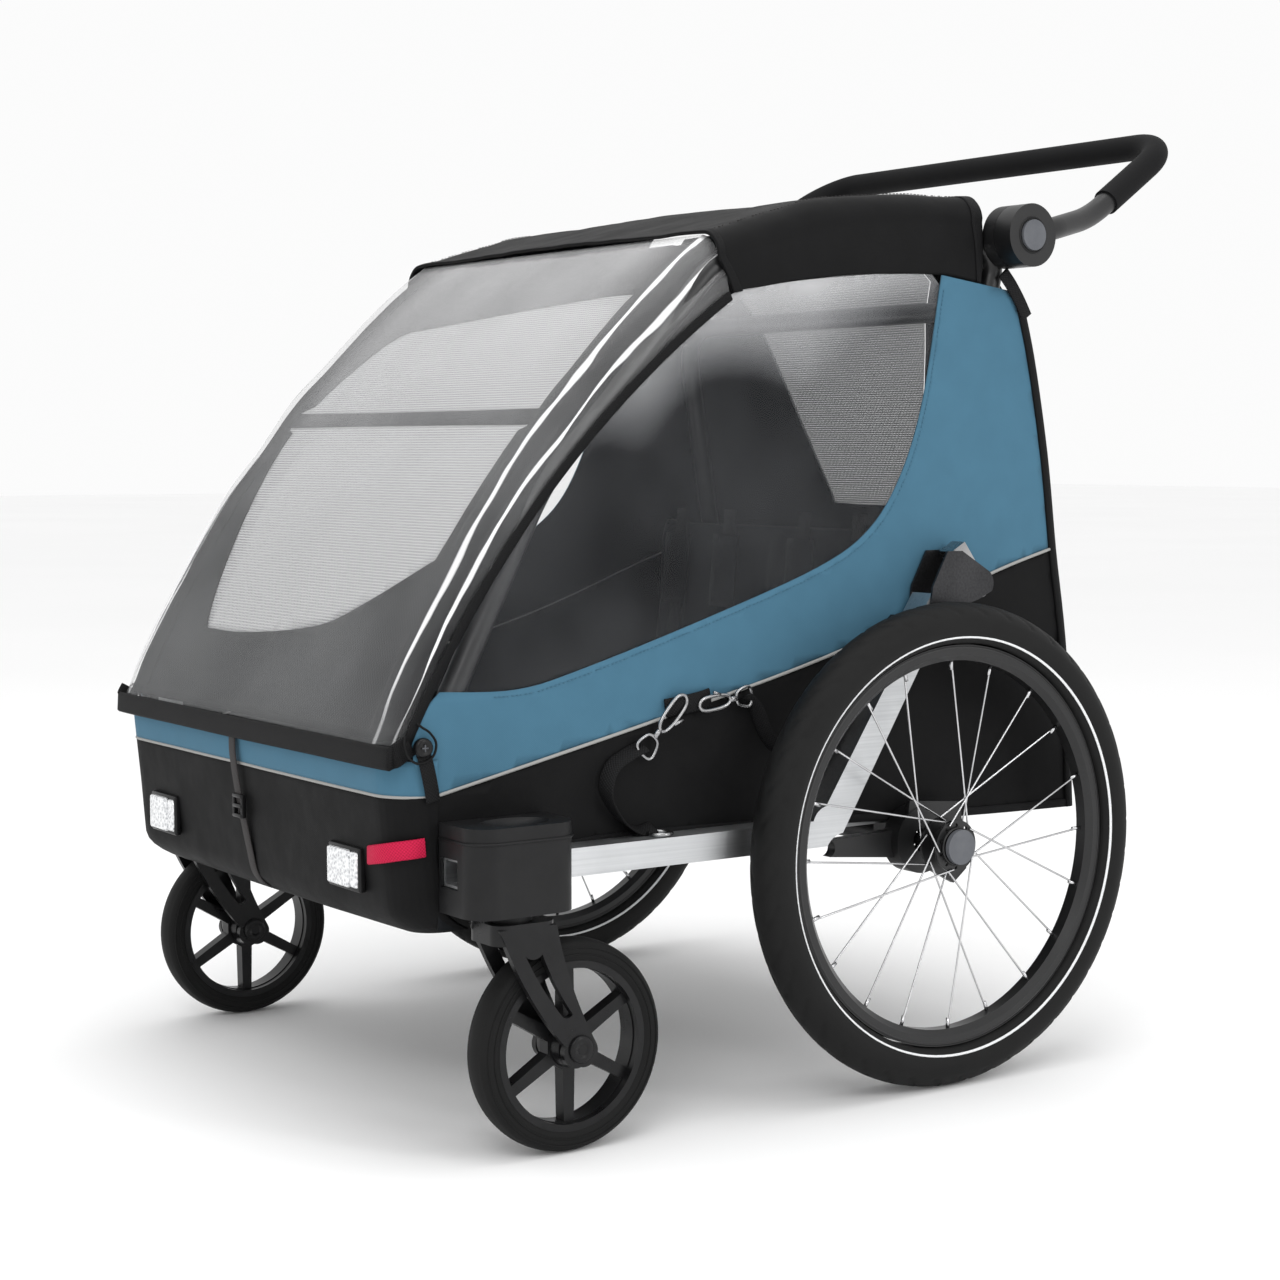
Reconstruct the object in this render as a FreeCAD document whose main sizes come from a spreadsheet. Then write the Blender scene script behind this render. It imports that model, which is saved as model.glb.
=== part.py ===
import FreeCAD, Part
import math
import os

from FreeCAD import Placement, Rotation, Vector

# Child bicycle trailer with its front casters fitted and its hitch arm stowed on the left side.
# Lengths are millimetres. +X is the trailer's left, -Y its front, +Z up. Every piece is drawn in the
# axle frame, whose Y is zero at the rear axle, and its Placement then moves it by axle_y, so that the
# model's origin lies on the ground under the middle of its bounding box.

SIZES = [
    ("axle_y", 107.2, "rear axle behind the model's origin"),
    # cabin cloth, side view
    ("cabin_half", 306.0, "outer face of the side cloth from the middle"),
    ("cloth", 2.0, "thickness of the cloth panels"),
    ("seam_gap", 1.0, "gap where two cloth panels meet"),
    ("skin_gap", 0.5, "gap between cloth layers and what they lie on"),
    ("hem_y", -620.0, "front of the rain cover's hem"),
    ("hem_z", 388.0, "top of the hem"),
    ("hem_tall", 22.0, "height of the hem"),
    ("hem_deep", 6.0, "thickness of the hem"),
    ("nose_y", -612.0, "front of the nose panel at its top"),
    ("nose_low_y", -598.0, "front of the nose panel at its foot"),
    ("nose_low_z", 214.0, "foot of the nose panel"),
    ("nose_return_y", -566.0, "where the nose panel ends on the sides"),
    ("nose_corner", 40.0, "corner radius of the nose panel"),
    ("brow_y", -242.0, "front edge of the roof"),
    ("brow_z", 867.0, "height of the roof's front edge"),
    ("roof_rear_y", 97.0, "rear edge of the roof cover"),
    ("roof_z", 921.0, "height of the roof's rear edge"),
    ("roof_bow", 19.0, "rise of the roof between its edges"),
    ("cover_bow", 40.0, "crown of the rain cover between hem and roof"),
    ("flap_y", -217.0, "front end of the roof's side flap"),
    ("flap_z", 811.0, "lower edge of the roof's side flap"),
    ("flap_bow", 24.0, "rise of the flap's lower edge"),
    ("binding_y", -572.0, "lower end of the rain cover's side edge"),
    ("binding_z", 414.0, "height of that end"),
    ("binding_bow", 41.0, "bow of the rain cover's side edge"),
    ("pipe_front_z", 338.0, "piping at the front of the sides"),
    ("pipe_rear_z", 547.0, "piping at the rear of the sides"),
    ("pipe_bow", -15.0, "sag of the piping"),
    ("rear_low_y", 236.0, "foot of the rear edge"),
    ("rear_high_y", 150.0, "top of the rear edge"),
    ("rear_high_z", 822.0, "height of the rear edge's top"),
    ("rear_bow", 15.0, "bulge of the rear edge"),
    ("skirt_z", 262.0, "lower edge of the side cloth"),
    ("cowl_inset", 38.0, "rear panel above the sides, in from the side cloth"),
    ("pocket_deep", 38.0, "how far the rear pocket stands out"),
    # base frame
    ("rail_wide", 24.0, "base rail width"),
    ("rail_tall", 22.0, "base rail height"),
    ("rail_z", 266.0, "underside of the base rails"),
    ("rail_front_y", -576.0, "front end of the base rails"),
    ("rail_rear_y", 225.0, "rear end of the base rails"),
    ("floor_thick", 5.0, "floor board"),
    ("lug_thick", 6.0, "pivot lugs on the base rails"),
    ("lug_gap", 1.4, "gap between a lug and the boss beside it"),
    ("boss_proud", 0.6, "how far a pivot boss stands out of its tube on each side"),
    # folding frame
    ("tube_radius", 12.0, "canopy rail tube"),
    ("frame_gap", 2.0, "gap between the canopy rails and the side cloth"),
    ("fold_gap", 5.0, "gap between canopy rails and rear hoop, which fold side by side"),
    ("nose_pivot_y", -570.0, "front pivot of the canopy frame"),
    ("nose_pivot_z", 375.0, "height of that pivot"),
    ("knee_y", -440.0, "canopy rail's slight bend on the slope"),
    ("knee_z", 630.0, "height of that bend"),
    ("knee_radius", 300.0, "radius of that bend"),
    ("bend_y", -234.0, "canopy rail's bend under the brow"),
    ("bend_z", 844.0, "height of that bend"),
    ("bend_radius", 90.0, "radius of that bend"),
    ("hub_y", 135.0, "handlebar hub"),
    ("hub_z", 879.0, "height of the handlebar hub"),
    ("heel_y", 118.0, "lower end of the canopy rail's rear leg"),
    ("heel_z", 805.0, "height of that end"),
    ("heel_radius", 30.0, "radius of the rail's bend at the hub"),
    ("pivot_pin", 6.0, "radius of the pivot pins"),
    ("pin_gap", 0.05, "running clearance of pins, radial"),
    ("boss_radius", 13.0, "pivot bosses"),
    ("post_radius", 11.0, "rear hoop tube"),
    ("post_foot_y", 205.0, "rear hoop's pivot"),
    ("post_foot_z", 304.0, "height of that pivot"),
    ("post_top_y", 124.0, "rear hoop's top bar"),
    ("post_top_z", 804.0, "height of the top bar"),
    ("hoop_radius", 50.0, "corner radius of the rear hoop"),
    # handlebar
    ("hub_radius", 33.0, "handlebar hub"),
    ("hub_fixed", 17.0, "thickness of the hub's fixed half"),
    ("hub_moving", 24.4, "thickness of the hub's turning half"),
    ("slide_gap", 0.4, "gap between sliding and turning faces"),
    ("button_radius", 16.0, "grey push buttons"),
    ("button_thick", 9.0, "length of a push button"),
    ("button_proud", 3.0, "how far a hub button stands out"),
    ("handle_radius", 12.0, "handlebar tube"),
    ("grip_radius", 14.5, "foam grip over the handlebar"),
    ("grip_start_y", 274.0, "front end of the grip"),
    ("neck_long", 42.0, "straight neck of the handlebar beside its hub"),
    ("neck_radius", 60.0, "radius of the bend behind the neck"),
    ("handle_mid_y", 245.0, "bend of the handlebar's arms"),
    ("handle_mid_z", 905.0, "height of that bend"),
    ("handle_y", 391.0, "handlebar's cross bar"),
    ("handle_z", 997.0, "height of the cross bar"),
    ("handle_corner", 60.0, "corner radius of the handlebar"),
    ("handle_inset", 8.0, "corner of the handlebar, in from the side cloth"),
    ("elbow_inset", -10.0, "bend of the handlebar's arms, in from the side cloth"),
    ("elbow_radius", 150.0, "radius of that bend"),
    # rear wheels
    ("wheel_out", 64.8, "wheel's middle plane outside the cloth"),
    ("tyre_radius", 250.0, "outer radius of the tyre"),
    ("tyre_section", 23.5, "radius of the tyre's section"),
    ("tyre_deep", 43.0, "depth of the tyre, down to where it meets the rim"),
    ("rim_deep", 16.5, "depth of the rim"),
    ("rim_half", 12.5, "half width of the rim"),
    ("rim_gap", 0.2, "gap between tyre and rim"),
    ("spoke_radius", 1.0, "spoke"),
    ("spoke_count", 20.0, "spokes in a wheel"),
    ("spoke_lead", 62.0, "angle a spoke gains between flange and rim"),
    ("flange_radius", 27.0, "hub flange"),
    ("flange_out", 11.0, "hub flange from the wheel's middle plane"),
    ("flange_thick", 3.0, "thickness of a hub flange"),
    ("barrel_radius", 15.0, "hub barrel"),
    ("axle_radius", 6.0, "axle stub inside the hub"),
    ("beam_radius", 12.5, "axle beam"),
    ("cap_travel", 4.0, "travel of the push buttons"),
    # casters
    ("caster_radius", 100.8, "caster tyre's outer radius"),
    ("caster_tyre_half", 17.0, "half width of the caster tyre"),
    ("caster_tyre_deep", 20.0, "depth of the caster tyre"),
    ("caster_out", 36.6, "caster's middle plane outside the cloth"),
    ("caster_y", -452.0, "caster axle"),
    ("caster_trail", 60.0, "caster axle behind its swivel"),
    ("caster_arms", 6.0, "arms of a caster wheel"),
    ("fork_gap", 4.0, "gap between caster tyre and fork leg"),
    ("fork_leg", 7.0, "thickness of a fork leg"),
    ("crown_gap", 4.4, "gap between caster tyre and fork crown"),
    ("crown_tall", 19.0, "height of the fork crown"),
    ("collar_radius", 21.0, "collar between fork and housing"),
    ("collar_tall", 7.0, "height of the collar"),
    ("stem_radius", 8.0, "swivel stem"),
    ("housing_tall", 83.0, "height of the caster housing"),
    ("housing_front_y", -566.0, "front of the caster housing"),
    ("housing_rear_y", -452.0, "rear of the caster housing"),
    ("housing_wide", 66.0, "width of the caster housing"),
    ("housing_corner", 26.0, "corner radius of the caster housing"),
    # hitch arm
    ("arm_wide", 30.0, "hitch arm width"),
    ("arm_tall", 27.0, "hitch arm height"),
    ("arm_wall", 2.5, "hitch arm wall"),
    ("arm_rise", 24.5, "underside of the stowed arm above that of the housing"),
    ("arm_gap", 4.0, "gap between the arm and the side cloth"),
    ("arm_knee_y", -140.0, "where the stowed arm turns up"),
    ("arm_top_y", 14.0, "upper end of the stowed arm"),
    ("arm_top_z", 500.0, "height of that end"),
    ("coupler_y", 72.0, "coupler pivot"),
    ("coupler_z", 515.0, "height of the coupler pivot"),
    ("coupler_radius", 15.0, "eye of the coupler"),
    ("bracket_thick", 2.5, "plates of the coupler bracket"),
    # trim
    ("reflector_out", 206.0, "reflector's middle from the trailer's"),
    ("reflector_z", 264.0, "height of the reflector's middle"),
    ("reflector_wide", 58.0, "reflector width"),
    ("reflector_tall", 38.0, "reflector height"),
    ("reflector_deep", 7.0, "reflector depth"),
    ("strap_half", 12.0, "half width of the front strap"),
    ("toggle_radius", 9.0, "cover toggles"),
    ("webbing", 17.0, "width of the safety straps"),
    ("ring_radius", 11.0, "ring on the arm"),
    ("wire_radius", 2.1, "wire of ring and hooks"),
    # parking brake
    ("pedal_y", 34.0, "brake pedal's pin"),
    ("pedal_drop", 12.0, "brake pedal's pin below the axle"),
    ("pedal_half", 60.0, "half width of the brake pedal"),
]

doc = FreeCAD.newDocument("bicycle_trailer")
sheet = doc.addObject("Spreadsheet::Sheet", "Sizes")
for row, (alias, value, note) in enumerate(SIZES, 1):
    sheet.set("A%d" % row, note)
    sheet.set("B%d" % row, str(value))
    sheet.setAlias("B%d" % row, alias)
doc.recompute()

SIDES = (("left", 1), ("right", -1))
nodes = []


def size(alias):
    """The value of one cell of the sheet."""
    return float(sheet.get(alias))


def local(alias_sum):
    """The value of a sum of aliases and numbers, such as "cabin_half - cloth"."""
    tokens = alias_sum.replace("+", " + ").replace("-", " - ").split()
    total = 0.0
    sign = 1
    for token in tokens:
        if token in "+-":
            sign = 1 if token == "+" else -1
        else:
            total += sign * (float(token) if token[0].isdigit() else size(token))
            sign = 1
    return total


def bound(alias_sum):
    """The same sum as an expression on the sheet."""
    tokens = alias_sum.replace("+", " + ").replace("-", " - ").split()
    return " ".join(t if t in "+-" or t[0].isdigit() else "Sizes." + t for t in tokens)


def keep(piece, label):
    """Names a finished sub-part and moves it from the axle frame to the model's frame."""
    piece.Label = label
    piece.setExpression("Placement.Base.y", "%s + Sizes.axle_y" % piece.Placement.Base.y)
    nodes.append(piece)
    return piece


def outline_edges(points):
    """Edges of a closed outline. A point is (u, v) or (u, v, bow): bow is the sagitta, to the left
    of the way to the next point, of an arc."""
    edges = []
    for index, point in enumerate(points):
        u1, v1 = points[(index + 1) % len(points)][:2]
        start = Vector(point[0], point[1], 0)
        end = Vector(u1, v1, 0)
        bow = point[2] if len(point) > 2 else 0.0
        if bow:
            way = (end - start).normalize()
            middle = (start + end) * 0.5 + Vector(-way.y, way.x, 0) * bow
            edges.append(Part.Arc(start, middle, end))
        else:
            edges.append(Part.LineSegment(start, end))
    return edges


def sketch(body, plane, outlines, offset="", side=1):
    """A sketch of closed outlines on an origin plane of its own body, or side * offset from it."""
    drawing = body.newObject("Sketcher::SketchObject", body.Name + "_sketch")
    support = [f for f in body.Origin.OriginFeatures if f.Role == plane][0]
    drawing.AttachmentSupport = [(support, "")]
    drawing.MapMode = "FlatFace"
    if offset:
        drawing.setExpression("AttachmentOffset.Base.z", "%d * (%s)" % (side, bound(offset)))
    for points in outlines:
        for edge in outline_edges(points):
            drawing.addGeometry(edge, False)
    return drawing


def pad(name, outlines, thick, start, plane="YZ_Plane", side=1):
    """A plate whose outlines are in the YZ plane, from start to start + thick along +X or, on the
    right side, its mirror place. Both are sums of aliases."""
    body = doc.addObject("PartDesign::Body", name)
    drawing = sketch(body, plane, outlines, start, side)
    plate = body.newObject("PartDesign::Pad", name + "_pad")
    plate.Profile = drawing
    plate.setExpression("Length", bound(thick))
    plate.Reversed = side < 0
    drawing.Visibility = False
    return body


def across(name, outlines, half):
    """A pad right across the trailer, half wide on both sides of its middle."""
    body = doc.addObject("PartDesign::Body", name)
    drawing = sketch(body, "YZ_Plane", outlines)
    plate = body.newObject("PartDesign::Pad", name + "_pad")
    plate.Profile = drawing
    plate.setExpression("Length", "2 * (%s)" % bound(half))
    plate.Midplane = True
    return body


def turned(name, outline, at):
    """A body of revolution about the X direction: outline is in (x, radius), at is its place."""
    body = doc.addObject("PartDesign::Body", name)
    drawing = sketch(body, "XZ_Plane", [outline])
    solid = body.newObject("PartDesign::Revolution", name + "_turn")
    solid.Profile = drawing
    solid.ReferenceAxis = (drawing, ["H_Axis"])
    solid.Angle = 360.0
    body.Placement.Base = Vector(*at)
    return body


def box(name, low, high):
    """A box between two corners, each a tuple of numbers."""
    block = doc.addObject("Part::Box", name)
    block.Length, block.Width, block.Height = [max(b - a, 0.01) for a, b in zip(low, high)]
    block.Placement.Base = Vector(*low)
    return block


def cylinder(name, radius, start, end):
    """A cylinder between two points; radius is a sum of aliases."""
    rod = doc.addObject("Part::Cylinder", name)
    way = Vector(*end) - Vector(*start)
    rod.setExpression("Radius", bound(radius))
    rod.Height = way.Length
    rod.Placement = Placement(Vector(*start), Rotation(Vector(0, 0, 1), way))
    return rod


def fuse(name, pieces):
    union = doc.addObject("Part::MultiFuse", name)
    union.Shapes = pieces
    return union


def cut(name, piece, tool):
    left = doc.addObject("Part::Cut", name)
    left.Base = piece
    left.Tool = tool
    return left


def rounded_path(points, radii):
    """A wire of straight runs joined by tangent arcs at the inner points."""
    corners = [Vector(*p) for p in points]
    edges = []
    start = corners[0]
    for corner, after, radius in zip(corners[1:-1], corners[2:], radii):
        back = (start - corner).normalize()
        ahead = (after - corner).normalize()
        half_turn = (math.pi - back.getAngle(ahead)) / 2
        reach = radius * math.tan(half_turn)
        enter = corner + back * reach
        leave = corner + ahead * reach
        middle = corner + (back + ahead).normalize() * (radius / math.cos(half_turn) - radius)
        edges.append(Part.LineSegment(start, enter).toShape())
        edges.append(Part.Arc(enter, middle, leave).toShape())
        start = leave
    edges.append(Part.LineSegment(start, corners[-1]).toShape())
    return Part.Wire(edges)


def tube(name, points, radii, radius):
    """A round rod swept along a rounded path."""
    spine = doc.addObject("Part::Feature", name + "_path")
    spine.Shape = rounded_path(points, radii)
    section = doc.addObject("Part::Circle", name + "_section")
    section.setExpression("Radius", bound(radius))
    way = Vector(*points[1]) - Vector(*points[0])
    section.Placement = Placement(Vector(*points[0]), Rotation(Vector(0, 0, 1), way))
    rod = doc.addObject("Part::Sweep", name)
    rod.Sections = [section]
    rod.Spine = (spine, ["Edge%d" % (i + 1) for i in range(len(spine.Shape.Edges))])
    rod.Solid = True
    rod.Frenet = False
    return rod


# --- base frame -----------------------------------------------------------------------------------

RAIL_X = local("cabin_half - cloth - frame_gap - tube_radius")
POST_X = RAIL_X - local("tube_radius + fold_gap + post_radius")
BASE_IN = RAIL_X - local("tube_radius + boss_proud + lug_gap")
BASE_OUT = BASE_IN + size("rail_wide")
RAIL_TOP = local("rail_z + rail_tall")
FLOOR_TOP = RAIL_TOP + local("floor_thick + skin_gap")
AXLE_Z = size("tyre_radius")


def beside(side, near, far, low, high):
    """Corners of a box between two distances from the middle, on one side of the trailer."""
    start, end = sorted((side * near, side * far))
    return (start,) + low, (end,) + high


def base_rail(label, side):
    """Side rail with the lug and pin of the nose pivot and those of the rear hoop."""
    reach, lug, overlap = size("boss_radius"), size("lug_thick"), 2.0
    front, rear = (size("rail_front_y"), size("rail_z")), (size("rail_rear_y"), RAIL_TOP)
    rail = box(label + "_bar", *beside(side, BASE_IN, BASE_OUT, front, rear))
    nose_y, nose_z = size("nose_pivot_y"), size("nose_pivot_z")
    nose_low, nose_high = (nose_y - reach, size("rail_z")), (nose_y + reach, nose_z + reach)
    nose_lug = box(label + "_nose_lug", *beside(side, BASE_IN - lug, BASE_IN, nose_low, nose_high))
    nose_pin = cylinder(label + "_nose_pin", "pivot_pin", (side * (BASE_IN - overlap), nose_y, nose_z),
                        (side * (RAIL_X + size("tube_radius")), nose_y, nose_z))
    foot_y, foot_z = size("post_foot_y"), size("post_foot_z")
    foot_low, foot_high = (foot_y - reach, RAIL_TOP - 1.0), (foot_y + reach, foot_z + reach)
    foot_lug = box(label + "_foot_lug", *beside(side, BASE_IN, BASE_IN + lug, foot_low, foot_high))
    foot_pin = cylinder(label + "_foot_pin", "pivot_pin", (side * (BASE_IN + overlap), foot_y, foot_z),
                        (side * (POST_X - size("post_radius") - overlap), foot_y, foot_z))
    return keep(fuse(label, [rail, nose_lug, nose_pin, foot_lug, foot_pin]), label)


def base_cross(label, low_y, high_y):
    """Cross tube between the side rails."""
    reach = BASE_IN - size("lug_thick") - size("seam_gap")
    return keep(box(label, (-reach, low_y, size("rail_z")), (reach, high_y, RAIL_TOP)), label)


def floor_board():
    reach = BASE_IN - size("lug_thick") - size("seam_gap")
    low = (-reach, size("rail_front_y") + 6.0, RAIL_TOP + size("skin_gap"))
    high = (reach, size("rail_rear_y") - 2.0, FLOOR_TOP)
    board = box("floor_board_slab", low, high)
    slots = []
    room = size("boss_radius") + 4.0
    for name, side in SIDES:
        slot_low = (side * POST_X - room, size("post_foot_y") - room - 5.0, low[2] - 1.0)
        slot_high = (side * POST_X + room, high[1] + 1.0, high[2] + 1.0)
        slots.append(box("floor_slot_" + name, slot_low, slot_high))
    return keep(cut("floor_board", board, fuse("floor_slots", slots)), "floor_board")


def axle_beam():
    """Cross tube with a turned-down stub at each end and a saddle under each base rail."""
    stub_end = local("cabin_half + wheel_out + flange_out - 2")
    shoulder = local("cabin_half + 3")
    outline = [(-stub_end, 0.0), (stub_end, 0.0), (stub_end, size("axle_radius")),
               (shoulder, size("axle_radius")), (shoulder, size("beam_radius")),
               (-shoulder, size("beam_radius")), (-shoulder, size("axle_radius")),
               (-stub_end, size("axle_radius"))]
    beam = turned("axle_beam_bar", outline, (0, 0, AXLE_Z))
    y, z, half = size("pedal_y"), AXLE_Z - size("pedal_drop"), size("pedal_half")
    saddle_half, lug_half, inset = 20.0, size("pivot_pin") + 3.0, 1.0
    blocks = []
    for name, side in SIDES:
        blocks.append(box("axle_saddle_" + name, *beside(side, BASE_IN + inset, BASE_OUT - inset,
                                                         (-saddle_half, AXLE_Z - 4.0),
                                                         (saddle_half, size("rail_z") - size("skin_gap")))))
        blocks.append(box("pedal_lug_" + name, *beside(side, half + inset, half + inset + size("lug_thick"),
                                                       (0.0, z - lug_half), (y + lug_half, z + lug_half))))
    pin_half = half + size("lug_thick") / 2
    blocks.append(cylinder("pedal_pin", "pivot_pin", (-pin_half, y, z), (pin_half, y, z)))
    return keep(fuse("axle_beam", [beam] + blocks), "axle_beam")


def brake_unit(label, side):
    """Drum round the axle end with the suspension arm that runs forward from it."""
    inner = side * local("cabin_half + 3.5")
    outer = side * local("cabin_half + 27")
    drum = cylinder(label + "_drum", "flange_radius + 8", (inner, 0, AXLE_Z), (outer, 0, AXLE_Z))
    arm_outline = [(-122.0, AXLE_Z - 8.0, -12.0), (-122.0, AXLE_Z + 8.0), (-30.0, AXLE_Z + 12.0),
                   (-20.0, AXLE_Z - 18.0)]
    arm = pad(label + "_arm", [arm_outline], "12", "cabin_half + 5", side=side)
    plate_outline = [(-26.0, AXLE_Z - 14.0), (44.0, AXLE_Z - 50.0), (62.0, AXLE_Z - 36.0),
                     (52.0, AXLE_Z + 36.0), (-18.0, AXLE_Z + 42.0)]
    plate = pad(label + "_plate", [plate_outline], "6", "cabin_half + 20", side=side)
    solid = fuse(label + "_solid", [drum, arm, plate])
    bore = cylinder(label + "_bore", "beam_radius + pin_gap + skin_gap", (inner - side * 5.0, 0, AXLE_Z),
                    (outer + side * 5.0, 0, AXLE_Z))
    return keep(cut(label, solid, bore), label)


# --- caster housings, casters ---------------------------------------------------------------------

CROWN_SUM = "caster_radius + caster_radius + crown_gap"
HOUSING_SUM = CROWN_SUM + " + crown_tall + collar_tall"
CROWN_Z = local(CROWN_SUM)
HOUSING_Z = local(HOUSING_SUM)
ARM_Z = HOUSING_Z + size("arm_rise")
ARM_TOP = ARM_Z + size("arm_tall")
STEM_TOP = ARM_Z - 7.0
SWIVEL_Y = local("caster_y - caster_trail")


def caster_housing(label, side):
    """Rounded box with a channel for the hitch arm, a thumb recess on top and a stem socket below."""
    near = local("cabin_half + 1.5")
    far = near + size("housing_wide")
    front, rear = size("housing_front_y"), size("housing_rear_y")
    corner = size("housing_corner")
    bow = -side * corner * (1 - math.sqrt(0.5))
    outline = [(side * near, front), (side * (far - corner), front, bow), (side * far, front + corner),
               (side * far, rear - corner, bow), (side * (far - corner), rear), (side * near, rear)]
    body = doc.addObject("PartDesign::Body", label + "_body")
    block = body.newObject("PartDesign::Pad", label + "_block")
    block.Profile = sketch(body, "XY_Plane", [outline], HOUSING_SUM)
    block.setExpression("Length", "Sizes.housing_tall")
    gap = size("skin_gap")
    channel_in = local("cabin_half + arm_gap") - gap
    channel = box(label + "_channel", *beside(side, channel_in, channel_in + size("arm_wide") + 2 * gap,
                                              (front - 5.0, ARM_Z - gap), (rear + 5.0, ARM_TOP + gap)))
    swivel_x = side * local("cabin_half + caster_out")
    socket = cylinder(label + "_socket", "stem_radius + pin_gap", (swivel_x, SWIVEL_Y, HOUSING_Z - 1.0),
                      (swivel_x, SWIVEL_Y, STEM_TOP + 1.0))
    thumb = doc.addObject("Part::Ellipsoid", label + "_thumb")
    thumb.Radius1, thumb.Radius2, thumb.Radius3 = 14.0, 24.0, 36.0
    thumb.Placement.Base = Vector(swivel_x, SWIVEL_Y + 6.0, HOUSING_Z + size("housing_tall") + 4.0)
    return keep(cut(label, body, fuse(label + "_holes", [channel, socket, thumb])), label)


def caster_fork(label, side):
    """Crown, two legs with a long window, axle bolt and swivel stem."""
    centre = side * local("cabin_half + caster_out")
    axle_y, axle_z = size("caster_y"), size("caster_radius")
    crown_top = CROWN_Z + size("crown_tall")
    foot, sunk = 17.0, 4.0
    leg = [(SWIVEL_Y - 27.0, crown_top - sunk, -6.0), (axle_y - foot, axle_z + 4.0, -9.0),
           (axle_y, axle_z - foot, -9.0), (axle_y + foot, axle_z + 4.0, 5.0),
           (SWIVEL_Y + 34.0, crown_top - sunk)]
    window = [(SWIVEL_Y, CROWN_Z - 11.0, -2.0), (axle_y - 21.0, axle_z + 34.0, -3.0),
              (axle_y - 9.0, axle_z + 34.0, 2.0), (SWIVEL_Y + 18.0, CROWN_Z - 11.0, 4.0)]
    legs = []
    for name, way in (("outer", 1), ("inner", -1)):
        plate = pad(label + "_" + name, [leg, window], "fork_leg", "caster_tyre_half + fork_gap", side=way)
        plate.Placement.Base = Vector(centre, 0, 0)
        legs.append(plate)
    reach = local("caster_tyre_half + fork_gap + fork_leg")
    crown_low = (centre - reach, SWIVEL_Y - 30.0, CROWN_Z)
    crown = box(label + "_crown", crown_low, (centre + reach, SWIVEL_Y + 36.0, crown_top))
    rounded = doc.addObject("Part::Fillet", label + "_crown_round")
    rounded.Base = crown
    doc.recompute()
    upright = [i + 1 for i, e in enumerate(crown.Shape.Edges) if abs(e.tangentAt(e.FirstParameter).z) > 0.9]
    rounded.Edges = [(i, 14.0, 14.0) for i in upright]
    collar = cylinder(label + "_collar", "collar_radius", (centre, SWIVEL_Y, crown_top - 2.0),
                      (centre, SWIVEL_Y, HOUSING_Z - size("slide_gap")))
    stem = cylinder(label + "_stem", "stem_radius", (centre, SWIVEL_Y, crown_top - 1.0),
                    (centre, SWIVEL_Y, STEM_TOP))
    bolt = cylinder(label + "_bolt", "pivot_pin", (centre - reach - 3.0, axle_y, axle_z),
                    (centre + reach + 3.0, axle_y, axle_z))
    return keep(fuse(label, legs + [rounded, collar, stem, bolt]), label)


def caster_wheel(label, side):
    """Moulded wheel: hub, web opened into arms, and rim."""
    half = size("caster_tyre_half")
    rim_out = local("caster_radius - caster_tyre_deep - rim_gap")
    rim_in = rim_out - 7.0
    bore = local("pivot_pin + pin_gap")
    outline = [(-half - 2.0, bore), (half + 2.0, bore), (half + 2.0, 19.0), (7.0, 21.0), (7.0, rim_in),
               (half - 2.0, rim_in), (half - 2.0, rim_out), (2.0 - half, rim_out), (2.0 - half, rim_in),
               (-7.0, rim_in), (-7.0, 21.0), (-half - 2.0, 19.0)]
    centre = (side * local("cabin_half + caster_out"), size("caster_y"), size("caster_radius"))
    wheel = turned(label, outline, centre)
    doc.recompute()
    step = math.pi / size("caster_arms")
    wide, root = 5.5, 24.0
    lean_out = math.asin(wide / (rim_in - 1.0))
    lean_in = math.asin((wide + 1.0) / root)
    tip = [(math.cos(a) * (rim_in - 1.0), math.sin(a) * (rim_in - 1.0))
           for a in (-step + lean_out, step - lean_out)]
    heel = [(math.cos(a) * root, math.sin(a) * root) for a in (step - lean_in, -step + lean_in)]
    rise = (rim_in - 1.0) * (1 - math.cos(step - lean_out))
    window = [tip[0] + (-rise,), tip[1], heel[0], heel[1]]
    drawing = sketch(wheel, "YZ_Plane", [window])
    pocket = wheel.newObject("PartDesign::Pocket", label + "_window")
    pocket.Profile = drawing
    pocket.Midplane = True
    pocket.Length = 60.0
    doc.recompute()
    pattern = wheel.newObject("PartDesign::PolarPattern", label + "_windows")
    pattern.Originals = [pocket]
    pattern.Axis = ([f for f in wheel.Origin.OriginFeatures if f.Role == "X_Axis"][0], [""])
    pattern.Angle = 360.0
    pattern.setExpression("Occurrences", "Sizes.caster_arms")
    wheel.Tip = pattern
    return keep(wheel, label)


def caster_tyre(label, side):
    half, outer = size("caster_tyre_half"), size("caster_radius")
    inner = local("caster_radius - caster_tyre_deep")
    shoulder, crown = 8.0, 1.2
    outline = [(2.0 - half, inner), (half - 2.0, inner), (half, inner + 4.0), (half, outer - 9.0, -2.0),
               (half - shoulder, outer - crown, -crown), (shoulder - half, outer - crown, -2.0),
               (-half, outer - 9.0), (-half, inner + 4.0)]
    centre = (side * local("cabin_half + caster_out"), size("caster_y"), size("caster_radius"))
    return keep(turned(label, outline, centre), label)


# --- rear wheels ----------------------------------------------------------------------------------

BEAD_RADIUS = local("tyre_radius - tyre_deep")
RIM_RADIUS = BEAD_RADIUS - size("rim_deep")


def wheel_place(side):
    return (side * local("cabin_half + wheel_out"), 0, AXLE_Z)


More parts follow.
